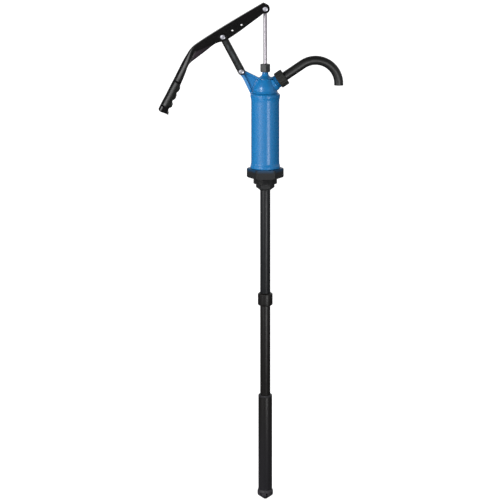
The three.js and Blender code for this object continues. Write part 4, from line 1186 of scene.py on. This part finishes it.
def only(light, *names):
    """This light falls on the named pieces and on nothing else."""
    group = bpy.data.collections.new(light.name + "_on")
    for n in names:
        group.objects.link(bpy.data.objects[n])
    light.light_linking.receiver_collection = group
    light.visible_diffuse = False


softbox("key_left", 42, 0, 3.4, 1.9, 1.3, 23, target=(0, 0, 1.38))
softbox("side_left", 82, 0, 3.2, 1.0, 0.9, 4, target=(0, 0, 1.1))
softbox("strip_left", 46, 0, 3.4, 0.9, 0.75, 3.0, target=(0, 0, 0.425))
softbox("strip_right", -26, 0, 3.6, 1.1, 0.97, 30, target=(0, 0, 0.135))
only(softbox("spot_left", 43, 15, 3.2, 0.9, 0.5, 28, target=(0, 0, 1.02)), "visual_pump_head")
only(softbox("low_left", 37, -30, 1.5, 0.7, 0.6, 2.6, target=(-0.05, 0, 1.05)), "visual_pump_head")
only(softbox("spot_lever", 41, 12, 3.2, 0.9, 0.6, 4.5, target=(-0.22, 0, 1.02)), "visual_lever")
only(softbox("rim_glint", 6, 42, 3.0, 0.9, 0.5, 16, target=(0, 0, 0.52)), "visual_tube_coupling", "visual_suction_tube_nut", "visual_foot_strainer", "visual_sleeve_cap")
only(softbox("front_sheen", -8, -10, 3.0, 2.4, 1.6, 29, target=(0.15, 0, 1.06)), "visual_spout")
only(softbox("glint", 12, 4, 3.0, 1.0, 0.9, 5.0, target=(-0.06, 0, 1.13)), "visual_rod_bolt", "visual_fulcrum_bolt", "visual_bracket_bolt")
for o in scene.objects:
    if o.type == "LIGHT":
        o.visible_camera = False

# ------------------------------------------------------------------ camera
cam_data = bpy.data.cameras.new("camera")
cam = bpy.data.objects.new("camera", cam_data)
scene.collection.objects.link(cam)
scene.camera = cam
cam.location = (-0.0381, -4.0, 1.508)
cam.rotation_euler = (math.radians(90), 0, 0)
cam_data.sensor_width = 36
cam_data.lens = 115.2
cam_data.clip_start, cam_data.clip_end = 0.1, 200
# The lens shift belongs to this camera position only.
curve = cam_data.driver_add("shift_y")
drv = curve.driver
drv.type = "SUM"
for i in range(17):
    var = drv.variables.new()
    var.type = "TRANSFORMS"
    var.targets[0].id = cam
    var.targets[0].transform_type = "LOC_Z" if i < 12 else "LOC_Y"
    var.targets[0].transform_space = "WORLD_SPACE"
for m in list(curve.modifiers):
    curve.modifiers.remove(m)
here = 12 * 1.508 - 5 * 4.0
for x, v in ((-900, 0), (here - 0.04, 0), (here - 0.015, -0.71), (here + 0.015, -0.71), (here + 0.04, 0), (900, 0)):
    curve.keyframe_points.insert(x, v)
for k in list(curve.keyframe_points):
    if abs(k.co.x - here) > 0.05 and abs(k.co.x) < 800:
        curve.keyframe_points.remove(k)
for k in curve.keyframe_points:
    k.interpolation = "LINEAR"
cam_data.shift_y = -0.71
scene.view_settings.view_transform = "Standard"
scene.view_settings.look = "None"

bpy.context.view_layer.update()
